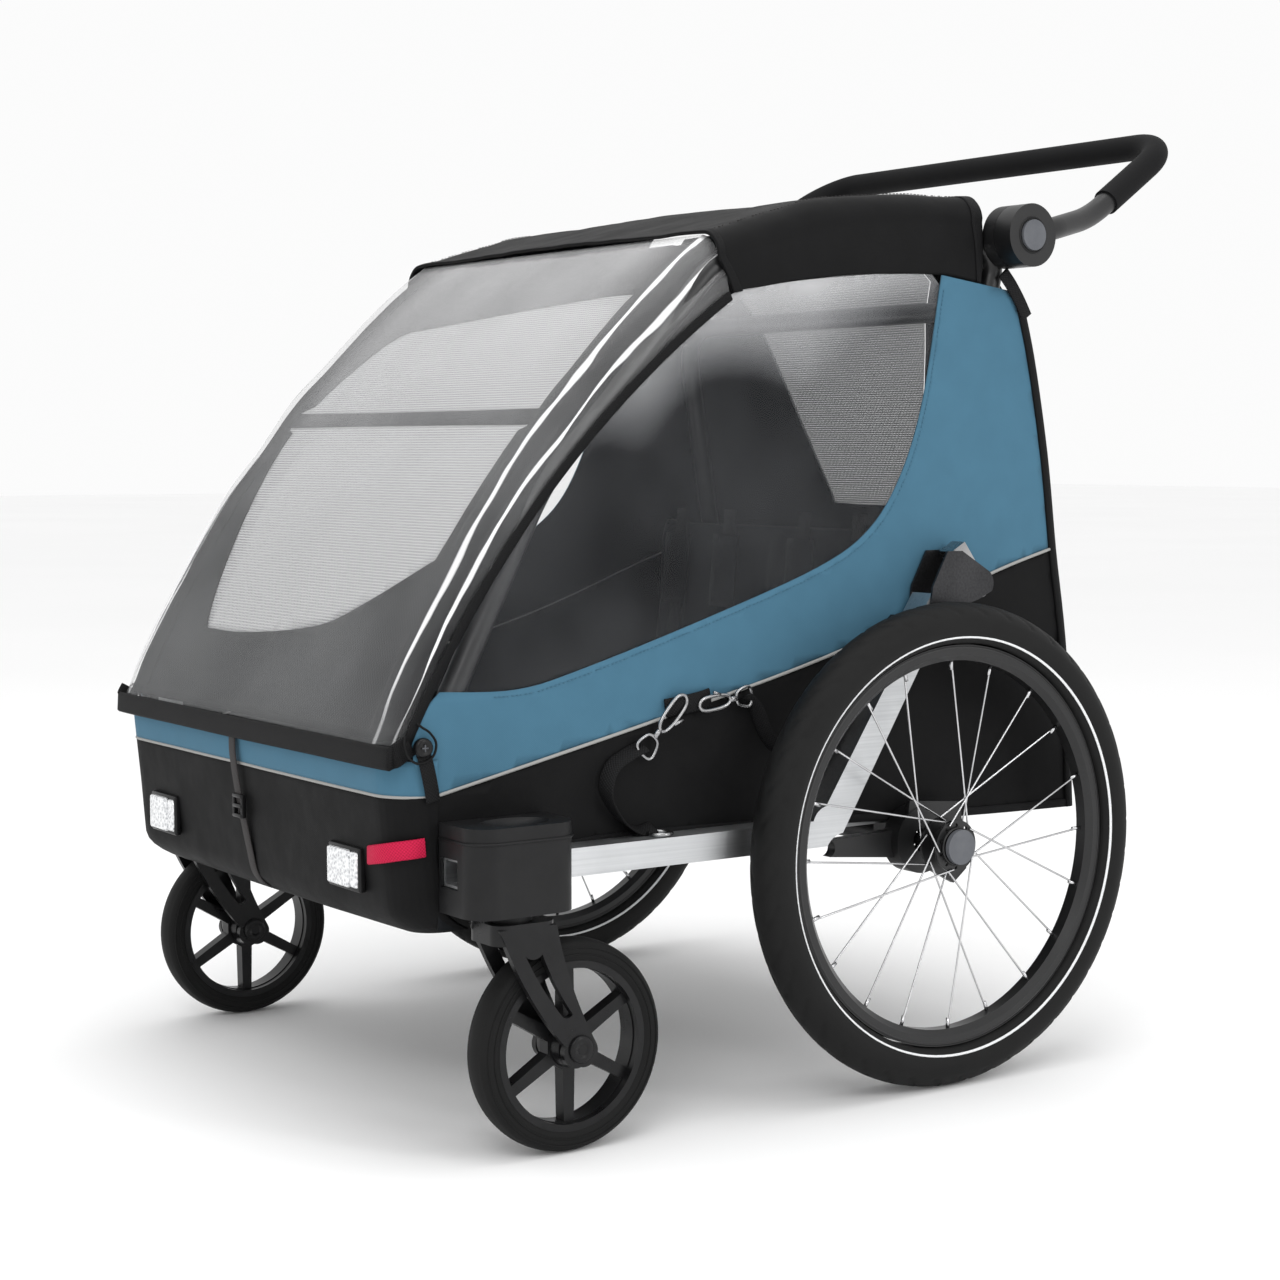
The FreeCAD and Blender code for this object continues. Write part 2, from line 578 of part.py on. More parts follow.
def wheel_tyre(label, side):
    """Tyre section: most of a circle, cut flat where it meets the rim."""
    middle, section = local("tyre_radius - tyre_section"), size("tyre_section")
    bead = BEAD_RADIUS
    half = math.sqrt(section ** 2 - (middle - bead) ** 2)
    side_bow = section - math.sqrt(section ** 2 - ((section - half) ** 2 + (middle - bead) ** 2) / 4)
    tread_bow = section * (1 - math.sqrt(0.5))
    outline = [(-half, bead), (half, bead, -side_bow), (section, middle, -tread_bow),
               (0.0, middle + section, -tread_bow), (-section, middle, -side_bow)]
    return keep(turned(label, outline, wheel_place(side)), label)


def wheel_rim(label, side):
    """Double-wall rim section with a V-shaped inner face."""
    half, outer, inner = size("rim_half"), BEAD_RADIUS - size("rim_gap"), RIM_RADIUS
    outline = [(-half, outer), (-half, inner + 6.0), (-half + 6.0, inner), (half - 6.0, inner),
               (half, inner + 6.0), (half, outer)]
    return keep(turned(label, outline, wheel_place(side)), label)


def wheel_spokes(label, side):
    """Crossed spokes between the two flanges and the rim, as separate rods."""
    count = int(size("spoke_count"))
    lead = math.radians(size("spoke_lead"))
    reach, foot = RIM_RADIUS + 0.7, size("flange_radius") - 3.0
    centre = Vector(*wheel_place(side))
    rods = []
    for index in range(count):
        angle = 2 * math.pi * index / count
        flange_side = 1 if index % 2 else -1
        way = 1 if (index // 2) % 2 else -1
        start_x = flange_side * (size("flange_out") + 3.0 * way)
        turn = angle + way * lead
        start = Vector(start_x, foot * math.cos(turn), foot * math.sin(turn))
        end = Vector(flange_side * 2.5, reach * math.cos(angle), reach * math.sin(angle))
        rods.append(Part.makeCylinder(size("spoke_radius"), (end - start).Length, start, end - start))
    piece = doc.addObject("Part::Feature", label)
    piece.Shape = Part.makeCompound(rods)
    piece.Placement.Base = centre
    return keep(piece, label)


def wheel_hub(label, side):
    """Barrel with two flanges, bored for the axle stub and for the cap's spring seat."""
    bore, barrel = local("axle_radius + pin_gap"), size("barrel_radius")
    flange, out, thick = size("flange_radius"), size("flange_out"), size("flange_thick")
    end = out + thick / 2
    neck = end + 8.0
    outline = [(-neck, bore), (end, bore), (end, flange), (end - thick, flange), (end - thick, barrel),
               (thick - end, barrel), (thick - end, flange), (-end, flange), (-end, barrel), (-neck, barrel)]
    outline = [(side * u, v) for u, v in outline]
    hub = turned(label + "_turned", outline, wheel_place(side))
    x, y, z = wheel_place(side)
    drills = []
    for index in range(int(size("spoke_count")) // 2):
        angle = 2 * math.pi * (index + 0.5) / (size("spoke_count") / 2)
        across_y, across_z = (flange - 5.5) * math.cos(angle), (flange - 5.5) * math.sin(angle)
        drills.append(cylinder("%s_drill_%d" % (label, index), "spoke_radius + 1.2",
                               (x + side * (end - thick - 1.0), y + across_y, z + across_z),
                               (x + side * (end + 1.0), y + across_y, z + across_z)))
    return keep(cut(label, hub, fuse(label + "_drills", drills)), label)


def wheel_cap(label, side):
    """Round grey release button over the hub's outer end."""
    x, y, z = wheel_place(side)
    room = local("cap_travel + slide_gap")
    start = abs(x) + size("flange_out") + size("flange_thick") / 2 + room
    disc = cylinder(label + "_disc", "button_radius + 2", (side * start, y, z), (side * (start + 5.0), y, z))
    stem_start = abs(x) + size("flange_out") - 2.0 + room
    stem = cylinder(label + "_stem", "axle_radius - slide_gap", (side * stem_start, y, z),
                    (side * (start + 1.0), y, z))
    return keep(fuse(label, [disc, stem]), label)


# --- canopy frame and handlebar -------------------------------------------------------------------

def roof_rail(label, side):
    """Bent rail from the nose pivot over the brow to the handlebar hub and down to its heel."""
    x = side * RAIL_X
    pivot = (x, size("nose_pivot_y"), size("nose_pivot_z"))
    points = [pivot, (x, size("knee_y"), size("knee_z")), (x, size("bend_y"), size("bend_z")),
              (x, size("hub_y"), size("hub_z")), (x, size("heel_y"), size("heel_z"))]
    radii = [size("knee_radius"), size("bend_radius"), size("heel_radius")]
    rod = tube(label + "_tube", points, radii, "tube_radius")
    half = local("tube_radius + boss_proud")
    y, z = pivot[1:]
    boss = cylinder(label + "_boss", "boss_radius", (x - half, y, z), (x + half, y, z))
    bore = cylinder(label + "_bore", "pivot_pin + pin_gap", (x - half - 2.0, y, z), (x + half + 2.0, y, z))
    return keep(cut(label, fuse(label + "_solid", [rod, boss]), bore), label)


def roof_cross():
    """Cross tube that joins the two rails under the brow."""
    reach = RAIL_X - size("tube_radius") - 0.3
    way = Vector(0, size("bend_y") - size("knee_y"), size("bend_z") - size("knee_z")).normalize()
    drop = size("bend_radius") / 2
    y, z = size("bend_y") - way.y * drop, size("bend_z") - way.z * drop
    return keep(cylinder("roof_cross", "tube_radius - 2", (-reach, y, z), (reach, y, z)), "roof_cross")


HUB_INNER = RAIL_X + local("tube_radius + skin_gap")
HUB_SPLIT = HUB_INNER + size("hub_fixed")
HUB_OUTER = HUB_SPLIT + size("slide_gap") + size("hub_moving")


def handle_hub(label, side):
    """Fixed half of the handlebar hub, beside the canopy rail."""
    y, z = size("hub_y"), size("hub_z")
    return keep(cylinder(label, "hub_radius", (side * HUB_INNER, y, z), (side * HUB_SPLIT, y, z)), label)


def handle_points():
    """Centreline of the handlebar from the left hub to the right one."""
    neck_x = HUB_SPLIT + local("slide_gap + handle_radius + pin_gap")
    share = size("neck_long") / (size("handle_mid_y") - size("hub_y"))
    rise = (size("handle_mid_z") - size("hub_z")) * share
    arm = [(neck_x, size("hub_y"), size("hub_z")),
           (neck_x, size("hub_y") + size("neck_long"), size("hub_z") + rise),
           (local("cabin_half - elbow_inset"), size("handle_mid_y"), size("handle_mid_z")),
           (local("cabin_half - handle_inset"), size("handle_y"), size("handle_z"))]
    return arm + [(-x, y, z) for x, y, z in reversed(arm)]


def handle_tube():
    """Handlebar: swept tube with the turning half of a hub at each end."""
    radii = [size("neck_radius"), size("elbow_radius"), size("handle_corner")]
    rod = tube("handle_tube_rod", handle_points(), radii + radii[::-1], "handle_radius")
    y, z = size("hub_y"), size("hub_z")
    ends, recesses = [], []
    for name, side in SIDES:
        inner = side * (HUB_SPLIT + size("slide_gap"))
        ends.append(cylinder("handle_end_" + name, "hub_radius", (inner, y, z), (side * HUB_OUTER, y, z)))
        floor = HUB_OUTER + local("button_proud - button_thick - cap_travel - slide_gap")
        recesses.append(cylinder("handle_recess_" + name, "button_radius + slide_gap", (side * floor, y, z),
                                 (side * (HUB_OUTER + 2.0), y, z)))
    bar = cut("handle_tube", fuse("handle_solid", [rod] + ends), fuse("handle_recesses", recesses))
    return keep(bar, "handle_tube")


def handle_grip():
    """Foam sleeve over the rear of the handlebar, bored for the tube."""
    points = handle_points()
    elbow, corner_left, corner_right = Vector(*points[2]), points[3], points[4]
    share = (size("grip_start_y") - elbow.y) / (corner_left[1] - elbow.y)
    start = elbow + (Vector(*corner_left) - elbow) * share
    route = [tuple(start), corner_left, corner_right, (-start.x, start.y, start.z)]
    corner = size("handle_corner")
    sleeve = tube("handle_grip_sleeve", route, [corner, corner], "grip_radius")
    core = tube("handle_grip_core", route, [corner, corner], "handle_radius + pin_gap")
    return keep(cut("handle_grip", sleeve, core), "handle_grip")


def hub_button(label, side):
    y, z = size("hub_y"), size("hub_z")
    face = HUB_OUTER + size("button_proud")
    back = face - size("button_thick")
    return keep(cylinder(label, "button_radius", (side * back, y, z), (side * face, y, z)), label)


def rear_hoop():
    """Rear hoop that folds forward about its feet: two posts and a top bar in one bent tube."""
    foot_y, foot_z = size("post_foot_y"), size("post_foot_z")
    top_y, top_z = size("post_top_y"), size("post_top_z")
    left = [(POST_X, foot_y, foot_z), (POST_X, top_y, top_z)]
    points = left + [(-x, y, z) for x, y, z in reversed(left)]
    corner = size("hoop_radius")
    rod = tube("rear_hoop_tube", points, [corner, corner], "post_radius")
    half = local("post_radius + boss_proud")
    bosses, bores = [], []
    for name, side in SIDES:
        x = side * POST_X
        bosses.append(cylinder("rear_hoop_boss_" + name, "boss_radius", (x - half, foot_y, foot_z),
                               (x + half, foot_y, foot_z)))
        bores.append(cylinder("rear_hoop_bore_" + name, "pivot_pin + pin_gap",
                              (x - half - 2.0, foot_y, foot_z), (x + half + 2.0, foot_y, foot_z)))
    hoop = cut("rear_hoop", fuse("rear_hoop_solid", [rod] + bosses), fuse("rear_hoop_bores", bores))
    return keep(hoop, "rear_hoop")


# --- cloth ----------------------------------------------------------------------------------------

CLOTH_IN = local("cabin_half - cloth")


def slope_line(inset):
    """Rain cover's line from hem to roof, moved square to itself into the cabin by inset."""
    low = Vector(0, size("hem_y") + 2.0, size("hem_z"))
    high = Vector(0, size("brow_y") - size("seam_gap"), size("brow_z") - 1.0)
    way = (high - low).normalize()
    inward = Vector(0, way.z, -way.y) * inset
    return [(p.y, p.z) for p in (low + inward, high + inward)]


def pipe_rear_y():
    """Where the piping meets the bulged rear edge."""
    share = (size("pipe_rear_z") - size("skirt_z")) / (size("rear_high_z") - size("skirt_z"))
    straight = size("rear_low_y") + (size("rear_high_y") - size("rear_low_y")) * share
    return straight + size("rear_bow") * 0.9


def lower_side(label, side):
    """Black lower side cloth, up to the piping."""
    front = local("nose_return_y + seam_gap")
    outline = [(front, size("nose_low_z") + 18.0, 16.0), (size("rear_low_y"), size("skirt_z")),
               (pipe_rear_y(), size("pipe_rear_z"), -size("pipe_bow")), (front, size("pipe_front_z"))]
    return keep(pad(label, [outline], "cloth", "cabin_half - cloth", side=side), label)


def upper_side(label, side):
    """Blue upper side cloth with its window, between piping, rain cover, roof flap and rear edge."""
    gap = size("seam_gap")
    flap_edge = size("flap_z") - gap
    outline = [(local("nose_return_y + seam_gap"), size("pipe_front_z") + gap, size("pipe_bow")),
               (pipe_rear_y(), size("pipe_rear_z") + gap, -4.0), (size("rear_high_y"), size("rear_high_z")),
               (size("hub_y"), flap_edge, -size("flap_bow")), (size("flap_y"), flap_edge),
               (size("brow_y") + 12.0, size("flap_z") - 8.0, -size("binding_bow")),
               (size("binding_y") + 7.0, size("binding_z"))]
    return keep(pad(label, [outline], "cloth", "cabin_half - cloth", side=side), label)


def channel(name, outer, inner):
    """Cloth shell open at the bottom and both ends: a full-width pad less an inner one."""
    shell = across(name + "_outer", [outer], "cabin_half")
    core = across(name + "_core", [inner], "cabin_half - cloth")
    return keep(cut(name, shell, core), name)


def rain_cover():
    """Clear cover: sloping front with side returns, and the hem across its foot."""
    low, high = slope_line(0.0)
    low_in, high_in = slope_line(size("cloth"))
    side_low = (size("binding_y"), size("binding_z"))
    side_high = (size("brow_y") + 9.0, size("flap_z") - 6.0)
    crown = size("cover_bow")
    outer = [low, (low[0] + 14.0, low[1]), side_low + (size("binding_bow"),), side_high, high + (-crown,)]
    inner = [(low_in[0] - 5.0, low_in[1] - 6.0), (low_in[0] + 60.0, low_in[1] - 60.0),
             (high_in[0] + 60.0, high_in[1] - 120.0), (high_in[0] + 5.0, high_in[1] + 6.0, -crown)]
    shell = across("rain_cover_outer", [outer], "cabin_half")
    core = across("rain_cover_core", [inner], "cabin_half - cloth")
    half = size("cabin_half")
    hem = box("rain_cover_hem", (-half, size("hem_y"), size("hem_z") - size("hem_tall")),
              (half, size("hem_y") + size("hem_deep"), size("hem_z") + 1.0))
    return keep(fuse("rain_cover", [cut("rain_cover_shell", shell, core), hem]), "rain_cover")


def front_screen():
    """Mesh screen with a dark border, close under the rain cover."""
    under = slope_line(size("cloth") + 2.0)
    over = slope_line(size("cloth") + 3.5)
    crown = size("cover_bow")
    low, high = under
    low_in, high_in = over
    outline = [(low[0] + 6.0, low[1] + 8.0), (low_in[0] + 6.0, low_in[1] + 8.0, crown),
               (high_in[0] - 3.0, high_in[1] - 5.0), (high[0] - 3.0, high[1] - 5.0, -crown)]
    return keep(across("front_screen", [outline], "cabin_half - cloth - seam_gap"), "front_screen")


def roof_cover():
    """Padded roof with a flap down each side."""
    gap, cloth, bow = size("seam_gap"), size("cloth"), size("roof_bow")
    front, rear = size("brow_y"), size("roof_rear_y")
    outer = [(front, size("brow_z")), (size("flap_y"), size("flap_z"), size("flap_bow") - 3.0),
             (rear, size("flap_z") + 15.0), (rear, size("roof_z"), -bow)]
    inner = [(front - 5.0, size("brow_z") - cloth - 0.8), (front - 5.0, size("flap_z") - 60.0),
             (rear + 5.0, size("flap_z") - 60.0), (rear + 5.0, size("roof_z") - cloth, -bow)]
    return channel("roof_cover", outer, inner)


def rear_panel():
    """Rear cloth: bulged panel between the sides and a narrower cowl up to the roof."""
    cloth, gap = size("cloth"), size("skin_gap")
    low = (size("rear_low_y"), size("skirt_z"))
    high = (size("rear_high_y") + 2.0, size("rear_high_z"))
    bulge = size("rear_bow")
    foot, head = low[0] + 1.0 + gap, high[0] + 1.0
    outline = [(foot, low[1], -bulge), (head, high[1]), (head + cloth, high[1], bulge),
               (foot + cloth, low[1])]
    panel = across("rear_panel_main", [outline], "cabin_half - cloth")
    top = (size("roof_rear_y") + 6.0, size("roof_z") - 8.0)
    cowl_outline = [(head, high[1] - 1.0), (head + cloth, high[1] - 1.0, -9.0), (top[0] + cloth, top[1]),
                    (top[0], top[1], 9.0)]
    cowl = across("rear_panel_cowl", [cowl_outline], "cabin_half - cowl_inset")
    return keep(fuse("rear_panel", [panel, cowl]), "rear_panel")


def rear_pocket():
    """Mesh pocket, open at the top, hung on the rear panel."""
    face = size("rear_low_y")
    rim = face + size("pocket_deep")
    cloth = size("cloth")
    low, belly, top = 300.0, 480.0, 515.0
    outline = [(face + 10.0, low), (rim - 16.0, low + 30.0, -4.0), (rim, belly, -3.0), (rim - 6.0, top),
               (face - 4.0, top + 5.0), (face + 2.0, belly - 10.0)]
    inside = [(face + 10.0 + cloth, low + 8.0), (rim - 16.0 - cloth, low + 32.0, -4.0),
              (rim - cloth, belly, -3.0), (rim - 6.0 - cloth, top + 10.0),
              (face - 4.0 + cloth, top + 10.0), (face + 2.0 + cloth, belly - 10.0)]
    bag = across("rear_pocket_bag", [outline], "cabin_half - cowl_inset")
    hollow = across("rear_pocket_hollow", [inside], "cabin_half - cowl_inset - cloth")
    return keep(cut("rear_pocket", bag, hollow), "rear_pocket")


def nose_outline(front):
    """Plan of the nose panel: a strip of cloth round both front corners."""
    half, cloth, corner, rear = size("cabin_half"), size("cloth"), size("nose_corner"), size("nose_return_y")
    bow = -corner * (1 - math.sqrt(0.5))
    inner_bow = (corner - cloth) * (1 - math.sqrt(0.5))
    return [(-half, rear), (-half, front + corner, bow), (corner - half, front),
            (half - corner, front, bow), (half, front + corner), (half, rear),
            (half - cloth, rear), (half - cloth, front + corner, inner_bow),
            (half - corner, front + cloth), (corner - half, front + cloth, inner_bow),
            (cloth - half, front + corner), (cloth - half, rear)]


def nose_panel():
    """Front cloth wrapped round both corners, leaning back towards its foot."""
    body = doc.addObject("PartDesign::Body", "nose_panel")
    foot = sketch(body, "XY_Plane", [nose_outline(size("nose_low_y"))], "nose_low_z")
    top = sketch(body, "XY_Plane", [nose_outline(size("nose_y"))], "hem_z - hem_tall - seam_gap")
    wall = body.newObject("PartDesign::AdditiveLoft", "nose_panel_wall")
    wall.Profile = top
    wall.Sections = [foot]
    wall.Ruled = True
    return keep(body, "nose_panel")


def seat():
    """Two-child sling seat: bench and leaning back in one piece."""
    outline = [(-260.0, 324.0), (36.0, 318.0), (58.0, 332.0), (98.0, 760.0), (84.0, 772.0), (72.0, 760.0),
               (32.0, 372.0), (2.0, 350.0), (-252.0, 352.0), (-272.0, 338.0)]
    return keep(across("seat", [outline], "cabin_half - cowl_inset - 26"), "seat")


def harness():
    """Shoulder straps of both children and the buckles between their legs, as separate solids."""
    straps = []
    for child_x in (-118.0, 118.0):
        for strap_x in (-48.0, 48.0):
            outline = [(32.5, 420.0), (35.5, 420.0), (64.5, 700.0), (61.5, 700.0)]
            strap = pad("shoulder_%d_%d" % (child_x + 200, strap_x + 50), [outline], "22", "0")
            strap.Placement.Base.x = child_x + strap_x - 11.0
            straps.append(strap)
        buckle_low, buckle_high = (child_x - 22.0, -70.0, 353.0), (child_x + 22.0, -10.0, 368.0)
        straps.append(box("buckle_%d" % (child_x + 200), buckle_low, buckle_high))
    group = doc.addObject("Part::Compound", "harness")
    group.Links = straps
    return keep(group, "harness")


# --- front trim -----------------------------------------------------------------------------------

def nose_face(z):
    """Y of the nose panel's front at a height."""
    top = local("hem_z - hem_tall - seam_gap")
    share = (z - size("nose_low_z")) / (top - size("nose_low_z"))
    return size("nose_low_y") + (size("nose_y") - size("nose_low_y")) * share


def front_reflectors():
    """A white reflector in its clip on each side of the nose."""
    lenses = []
    for name, side in SIDES:
        middle = side * size("reflector_out")
        face = nose_face(size("reflector_z") + size("reflector_tall") / 2) - size("skin_gap")
        half_wide, half_tall = size("reflector_wide") / 2, size("reflector_tall") / 2
        low = (middle - half_wide, face - size("reflector_deep"), size("reflector_z") - half_tall)
        high = (middle + half_wide, face, size("reflector_z") + half_tall)
        lenses.append(box("reflector_" + name, low, high))
    group = doc.addObject("Part::Compound", "front_reflectors")
    group.Links = lenses
    return keep(group, "front_reflectors")


def pull_tab():
    """Red webbing tab at the left front corner."""
    low, high, thick = 276.0, 298.0, 2.5
    face = nose_face(high) - size("skin_gap")
    middle = local("cabin_half - nose_corner - 7")
    return keep(box("pull_tab", (middle - 15.0, face - thick, low), (middle + 15.0, face, high)), "pull_tab")


def front_strap():
    """Webbing from the hem down over the nose."""
    top_z = size("hem_z") - size("hem_tall") - 2.0
    low_z = size("nose_low_z") - 4.0
    top_y, low_y = nose_face(top_z) - size("skin_gap"), nose_face(low_z) - size("skin_gap")
    outline = [(low_y - 2.0, low_z), (low_y, low_z), (top_y, top_z), (top_y - 2.0, top_z)]
    strap = across("front_strap", [outline], "strap_half")
    strap.Placement.Base.x = -18.0
    return keep(strap, "front_strap")


def cover_buttons():
    """Toggle at each lower corner that the cover's elastic loop hooks round."""
    buttons = []
    for name, side in SIDES:
        inner = side * (size("cabin_half") + size("skin_gap"))
        y, z = size("hem_y") + 37.0, size("hem_z") - 3.0
        buttons.append(cylinder("toggle_" + name, "toggle_radius", (inner, y, z), (inner + side * 7.0, y, z)))
    group = doc.addObject("Part::Compound", "cover_buttons")
    group.Links = buttons
    return keep(group, "cover_buttons")


# --- hitch arm, coupler, safety straps --------------------------------------------------------------

ARM_LOW_X = local("cabin_half + arm_gap")
ARM_MID_X = ARM_LOW_X + size("arm_wide") / 2


def hitch_arm():
    """Stowed rectangular tube: along the side, then up to the bracket that carries the coupler."""
    low, high = ARM_Z, ARM_TOP
    front = size("housing_front_y") + 4.0
    knee_y, top_y, top_z = size("arm_knee_y"), size("arm_top_y"), size("arm_top_z")
    way = Vector(top_y - 12.0 - knee_y, top_z - (low + high) / 2, 0).normalize()
    across_y, across_z = way.y * size("arm_tall") / 2, -way.x * size("arm_tall") / 2
    upper = [(top_y + across_y, top_z + across_z), (top_y - across_y, top_z - across_z)]
    outline = [(front, low), (knee_y + 6.0, low, 3.0), (knee_y + 26.0, low + 12.0), upper[0], upper[1],
               (knee_y + 4.0, high + 14.0, -3.0), (knee_y - 12.0, high), (front, high)]
    bar = pad("hitch_arm_bar", [outline], "arm_wide", "cabin_half + arm_gap")
    wall = size("arm_wall")
    bore = box("hitch_arm_bore", (ARM_LOW_X + wall, front - 1.0, low + wall),
               (ARM_LOW_X + size("arm_wide") - wall, front + 150.0, high - wall))
    eye_y, eye_z = size("coupler_y"), size("coupler_z")
    plate_outline = [(top_y - 16.0, top_z - 16.0), (top_y + 10.0, top_z - 13.0), (eye_y - 6.0, eye_z - 16.0),
                     (eye_y + 12.0, eye_z - 8.0, -5.0), (eye_y + 6.0, eye_z + 14.0),
                     (top_y + 28.0, top_z + 50.0), (top_y + 8.0, top_z + 50.0), (top_y - 12.0, top_z + 14.0)]
    thick = size("bracket_thick")
    inner_plate = pad("hitch_inner_plate", [plate_outline], "bracket_thick",
                      "cabin_half + arm_gap - bracket_thick")
    outer_plate = pad("hitch_outer_plate", [plate_outline], "bracket_thick",
                      "cabin_half + arm_gap + arm_wide")
    pin = cylinder("hitch_pin", "pivot_pin", (ARM_LOW_X - thick, eye_y, eye_z),
                   (ARM_LOW_X + size("arm_wide") + thick, eye_y, eye_z))
    solid = fuse("hitch_arm_solid", [bar, inner_plate, outer_plate, pin])
    return keep(cut("hitch_arm", solid, bore), "hitch_arm")


def hitch_coupler():
    """Clevis that turns on the bracket's pin."""
    y, z = size("coupler_y"), size("coupler_z")
    start = ARM_LOW_X + 3.0
    end = ARM_LOW_X + size("arm_wide") - 3.0
    eye = cylinder("hitch_eye", "coupler_radius", (start, y, z), (end, y, z))
    tongue_outline = [(y - 10.0, z - 4.0), (y + 4.0, z + 12.0), (y - 20.0, z + 44.0), (y - 38.0, z + 34.0)]
    tongue = pad("hitch_tongue", [tongue_outline], "arm_wide - 10", "cabin_half + arm_gap + 5")
    bore = cylinder("hitch_bore", "pivot_pin + pin_gap", (start - 2.0, y, z), (end + 2.0, y, z))
    return keep(cut("hitch_coupler", fuse("hitch_coupler_solid", [eye, tongue]), bore), "hitch_coupler")


def strap_ring():
    """Ring that lies on the stowed arm and holds the safety strap."""
    ring = doc.addObject("Part::Torus", "strap_ring")
    ring.setExpression("Radius1", "Sizes.ring_radius")
    ring.setExpression("Radius2", "Sizes.wire_radius")
    ring.Placement.Base = Vector(ARM_MID_X, -330.0, ARM_TOP + size("wire_radius") + 0.3)
    return keep(ring, "strap_ring")


def strip(label, points, radii, wide, thick):
    """Flat webbing along a rounded path in a plane of constant X."""
    spine = doc.addObject("Part::Feature", label + "_path")
    spine.Shape = rounded_path(points, radii)
    start = Vector(*points[0])
    way = (Vector(*points[1]) - start).normalize()
    edge = Vector(1, 0, 0).cross(way) * (wide / 2)
    face = Vector(thick / 2, 0, 0)
    corners = [start + edge + face, start - edge + face, start - edge - face, start + edge - face]
    section = doc.addObject("Part::Feature", label + "_section")
    section.Shape = Part.makePolygon(corners + corners[:1])
    band = doc.addObject("Part::Sweep", label)
    band.Sections = [section]
    band.Spine = (spine, ["Edge%d" % (i + 1) for i in range(len(spine.Shape.Edges))])
    band.Solid = True
    return keep(band, label)


def safety_strap_front():
    """Webbing from the ring on the arm, bowing forward, up to the front snap hook."""
    x = local("cabin_half + 6")
    low = ARM_TOP + 10.0
    points = [(x, -346.0, low), (x, -372.0, low + 5.0), (x, -390.0, low + 37.0), (x, -374.0, 358.0),
              (x, -348.0, 366.0)]
    return strip("safety_strap_front", points, [14.0, 20.0, 18.0], size("webbing"), 2.0)


def safety_strap_rear():
    """Webbing from the rear snap hook, down behind the wheel and up to the coupler."""
    x = local("cabin_half + 6")
    points = [(x, -202.0, 402.0), (x, -190.0, 372.0), (x, -160.0, 356.0), (x, -110.0, 372.0),
              (x, -52.0, 460.0)]
    return strip("safety_strap_rear", points, [20.0, 24.0, 50.0], size("webbing"), 2.0)


def snap_hooks():
    """Two spring hooks with their swivel eyes, as separate solids."""
    x = local("cabin_half + 7.5")
    routes = [[(x, -332.0, 376.0), (x, -292.0, 418.0), (x, -280.0, 404.0), (x, -302.0, 386.0)],
              [(x, -228.0, 412.0), (x, -274.0, 414.0), (x, -272.0, 396.0), (x, -250.0, 397.0)]]
    eyes = [(x, -337.0, 370.0), (x, -219.0, 411.0)]
    pieces = []
    for index, (route, eye) in enumerate(zip(routes, eyes)):
        hook = tube("snap_hook_%d" % index, route, [7.0, 7.0], "wire_radius")
        ring = doc.addObject("Part::Torus", "snap_eye_%d" % index)
        ring.Radius1 = 7.5
        ring.setExpression("Radius2", "Sizes.wire_radius")
        ring.Placement = Placement(Vector(*eye), Rotation(Vector(0, 1, 0), 90))
        pieces.append(fuse("snap_%d" % index, [hook, ring]))
    group = doc.addObject("Part::Compound", "snap_hooks")
    group.Links = pieces
    return keep(group, "snap_hooks")


def brake_pedal():
    """Parking brake pedal on a pin behind the axle beam."""
    y, z, half = size("pedal_y"), AXLE_Z - size("pedal_drop"), size("pedal_half")
    sleeve = cylinder("pedal_sleeve", "pivot_pin + 4", (-half, y, z), (half, y, z))
    outline = [(y + 4.0, z - 4.0), (y + 84.0, z + 12.0), (y + 82.0, z + 20.0), (y + 4.0, z + 5.0)]
    plate = across("pedal_plate", [outline], "pedal_half - 6")
    bore = cylinder("pedal_bore", "pivot_pin + pin_gap", (-half - 2.0, y, z), (half + 2.0, y, z))
    return keep(cut("brake_pedal", fuse("pedal_solid", [sleeve, plate]), bore), "brake_pedal")


def build():
    for name, side in SIDES:
        base_rail("base_rail_" + name, side)
        brake_unit("brake_unit_" + name, side)
        caster_housing("caster_housing_" + name, side)
        caster_fork("caster_fork_" + name, side)
        caster_wheel("caster_wheel_" + name, side)
        caster_tyre("caster_tyre_" + name, side)
        wheel_tyre("wheel_tyre_" + name, side)
        wheel_rim("wheel_rim_" + name, side)
        wheel_spokes("wheel_spokes_" + name, side)
        wheel_hub("wheel_hub_" + name, side)
        wheel_cap("wheel_cap_" + name, side)
        roof_rail("roof_rail_" + name, side)
        handle_hub("handle_hub_" + name, side)
        hub_button("hub_button_" + name, side)
        lower_side("lower_side_" + name, side)
        upper_side("upper_side_" + name, side)
    base_cross("base_cross_front", size("rail_front_y"), size("rail_front_y") + size("rail_wide"))
    base_cross("base_cross_rear", size("rail_rear_y") - size("rail_wide"), size("rail_rear_y"))
    for make in (floor_board, axle_beam, roof_cross, handle_tube, handle_grip, rear_hoop, rain_cover,
                 front_screen, roof_cover, rear_panel, rear_pocket, nose_panel, seat, harness,
                 front_reflectors, pull_tab, front_strap, cover_buttons, hitch_arm, hitch_coupler,
                 strap_ring, safety_strap_front, safety_strap_rear, snap_hooks, brake_pedal):
        make()


build()
doc.recompute()
failed = [o.Name for o in doc.Objects if "Invalid" in o.State or "Error" in o.State]
failed += [n.Label for n in nodes if n.Shape.isNull() or not n.Shape.isValid() or not n.Shape.Solids]
if failed:
    raise RuntimeError("these objects failed: " + ", ".join(failed))
os.makedirs("parts", exist_ok=True)
for node in nodes:
    node.Shape.exportStep("parts/%s.step" % node.Label)
    print("%-22s %2d solids %9.1f cm3" % (node.Label, len(node.Shape.Solids), node.Shape.Volume / 1000))
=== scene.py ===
import math

import bmesh
import bpy
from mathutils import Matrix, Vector, geometry, noise


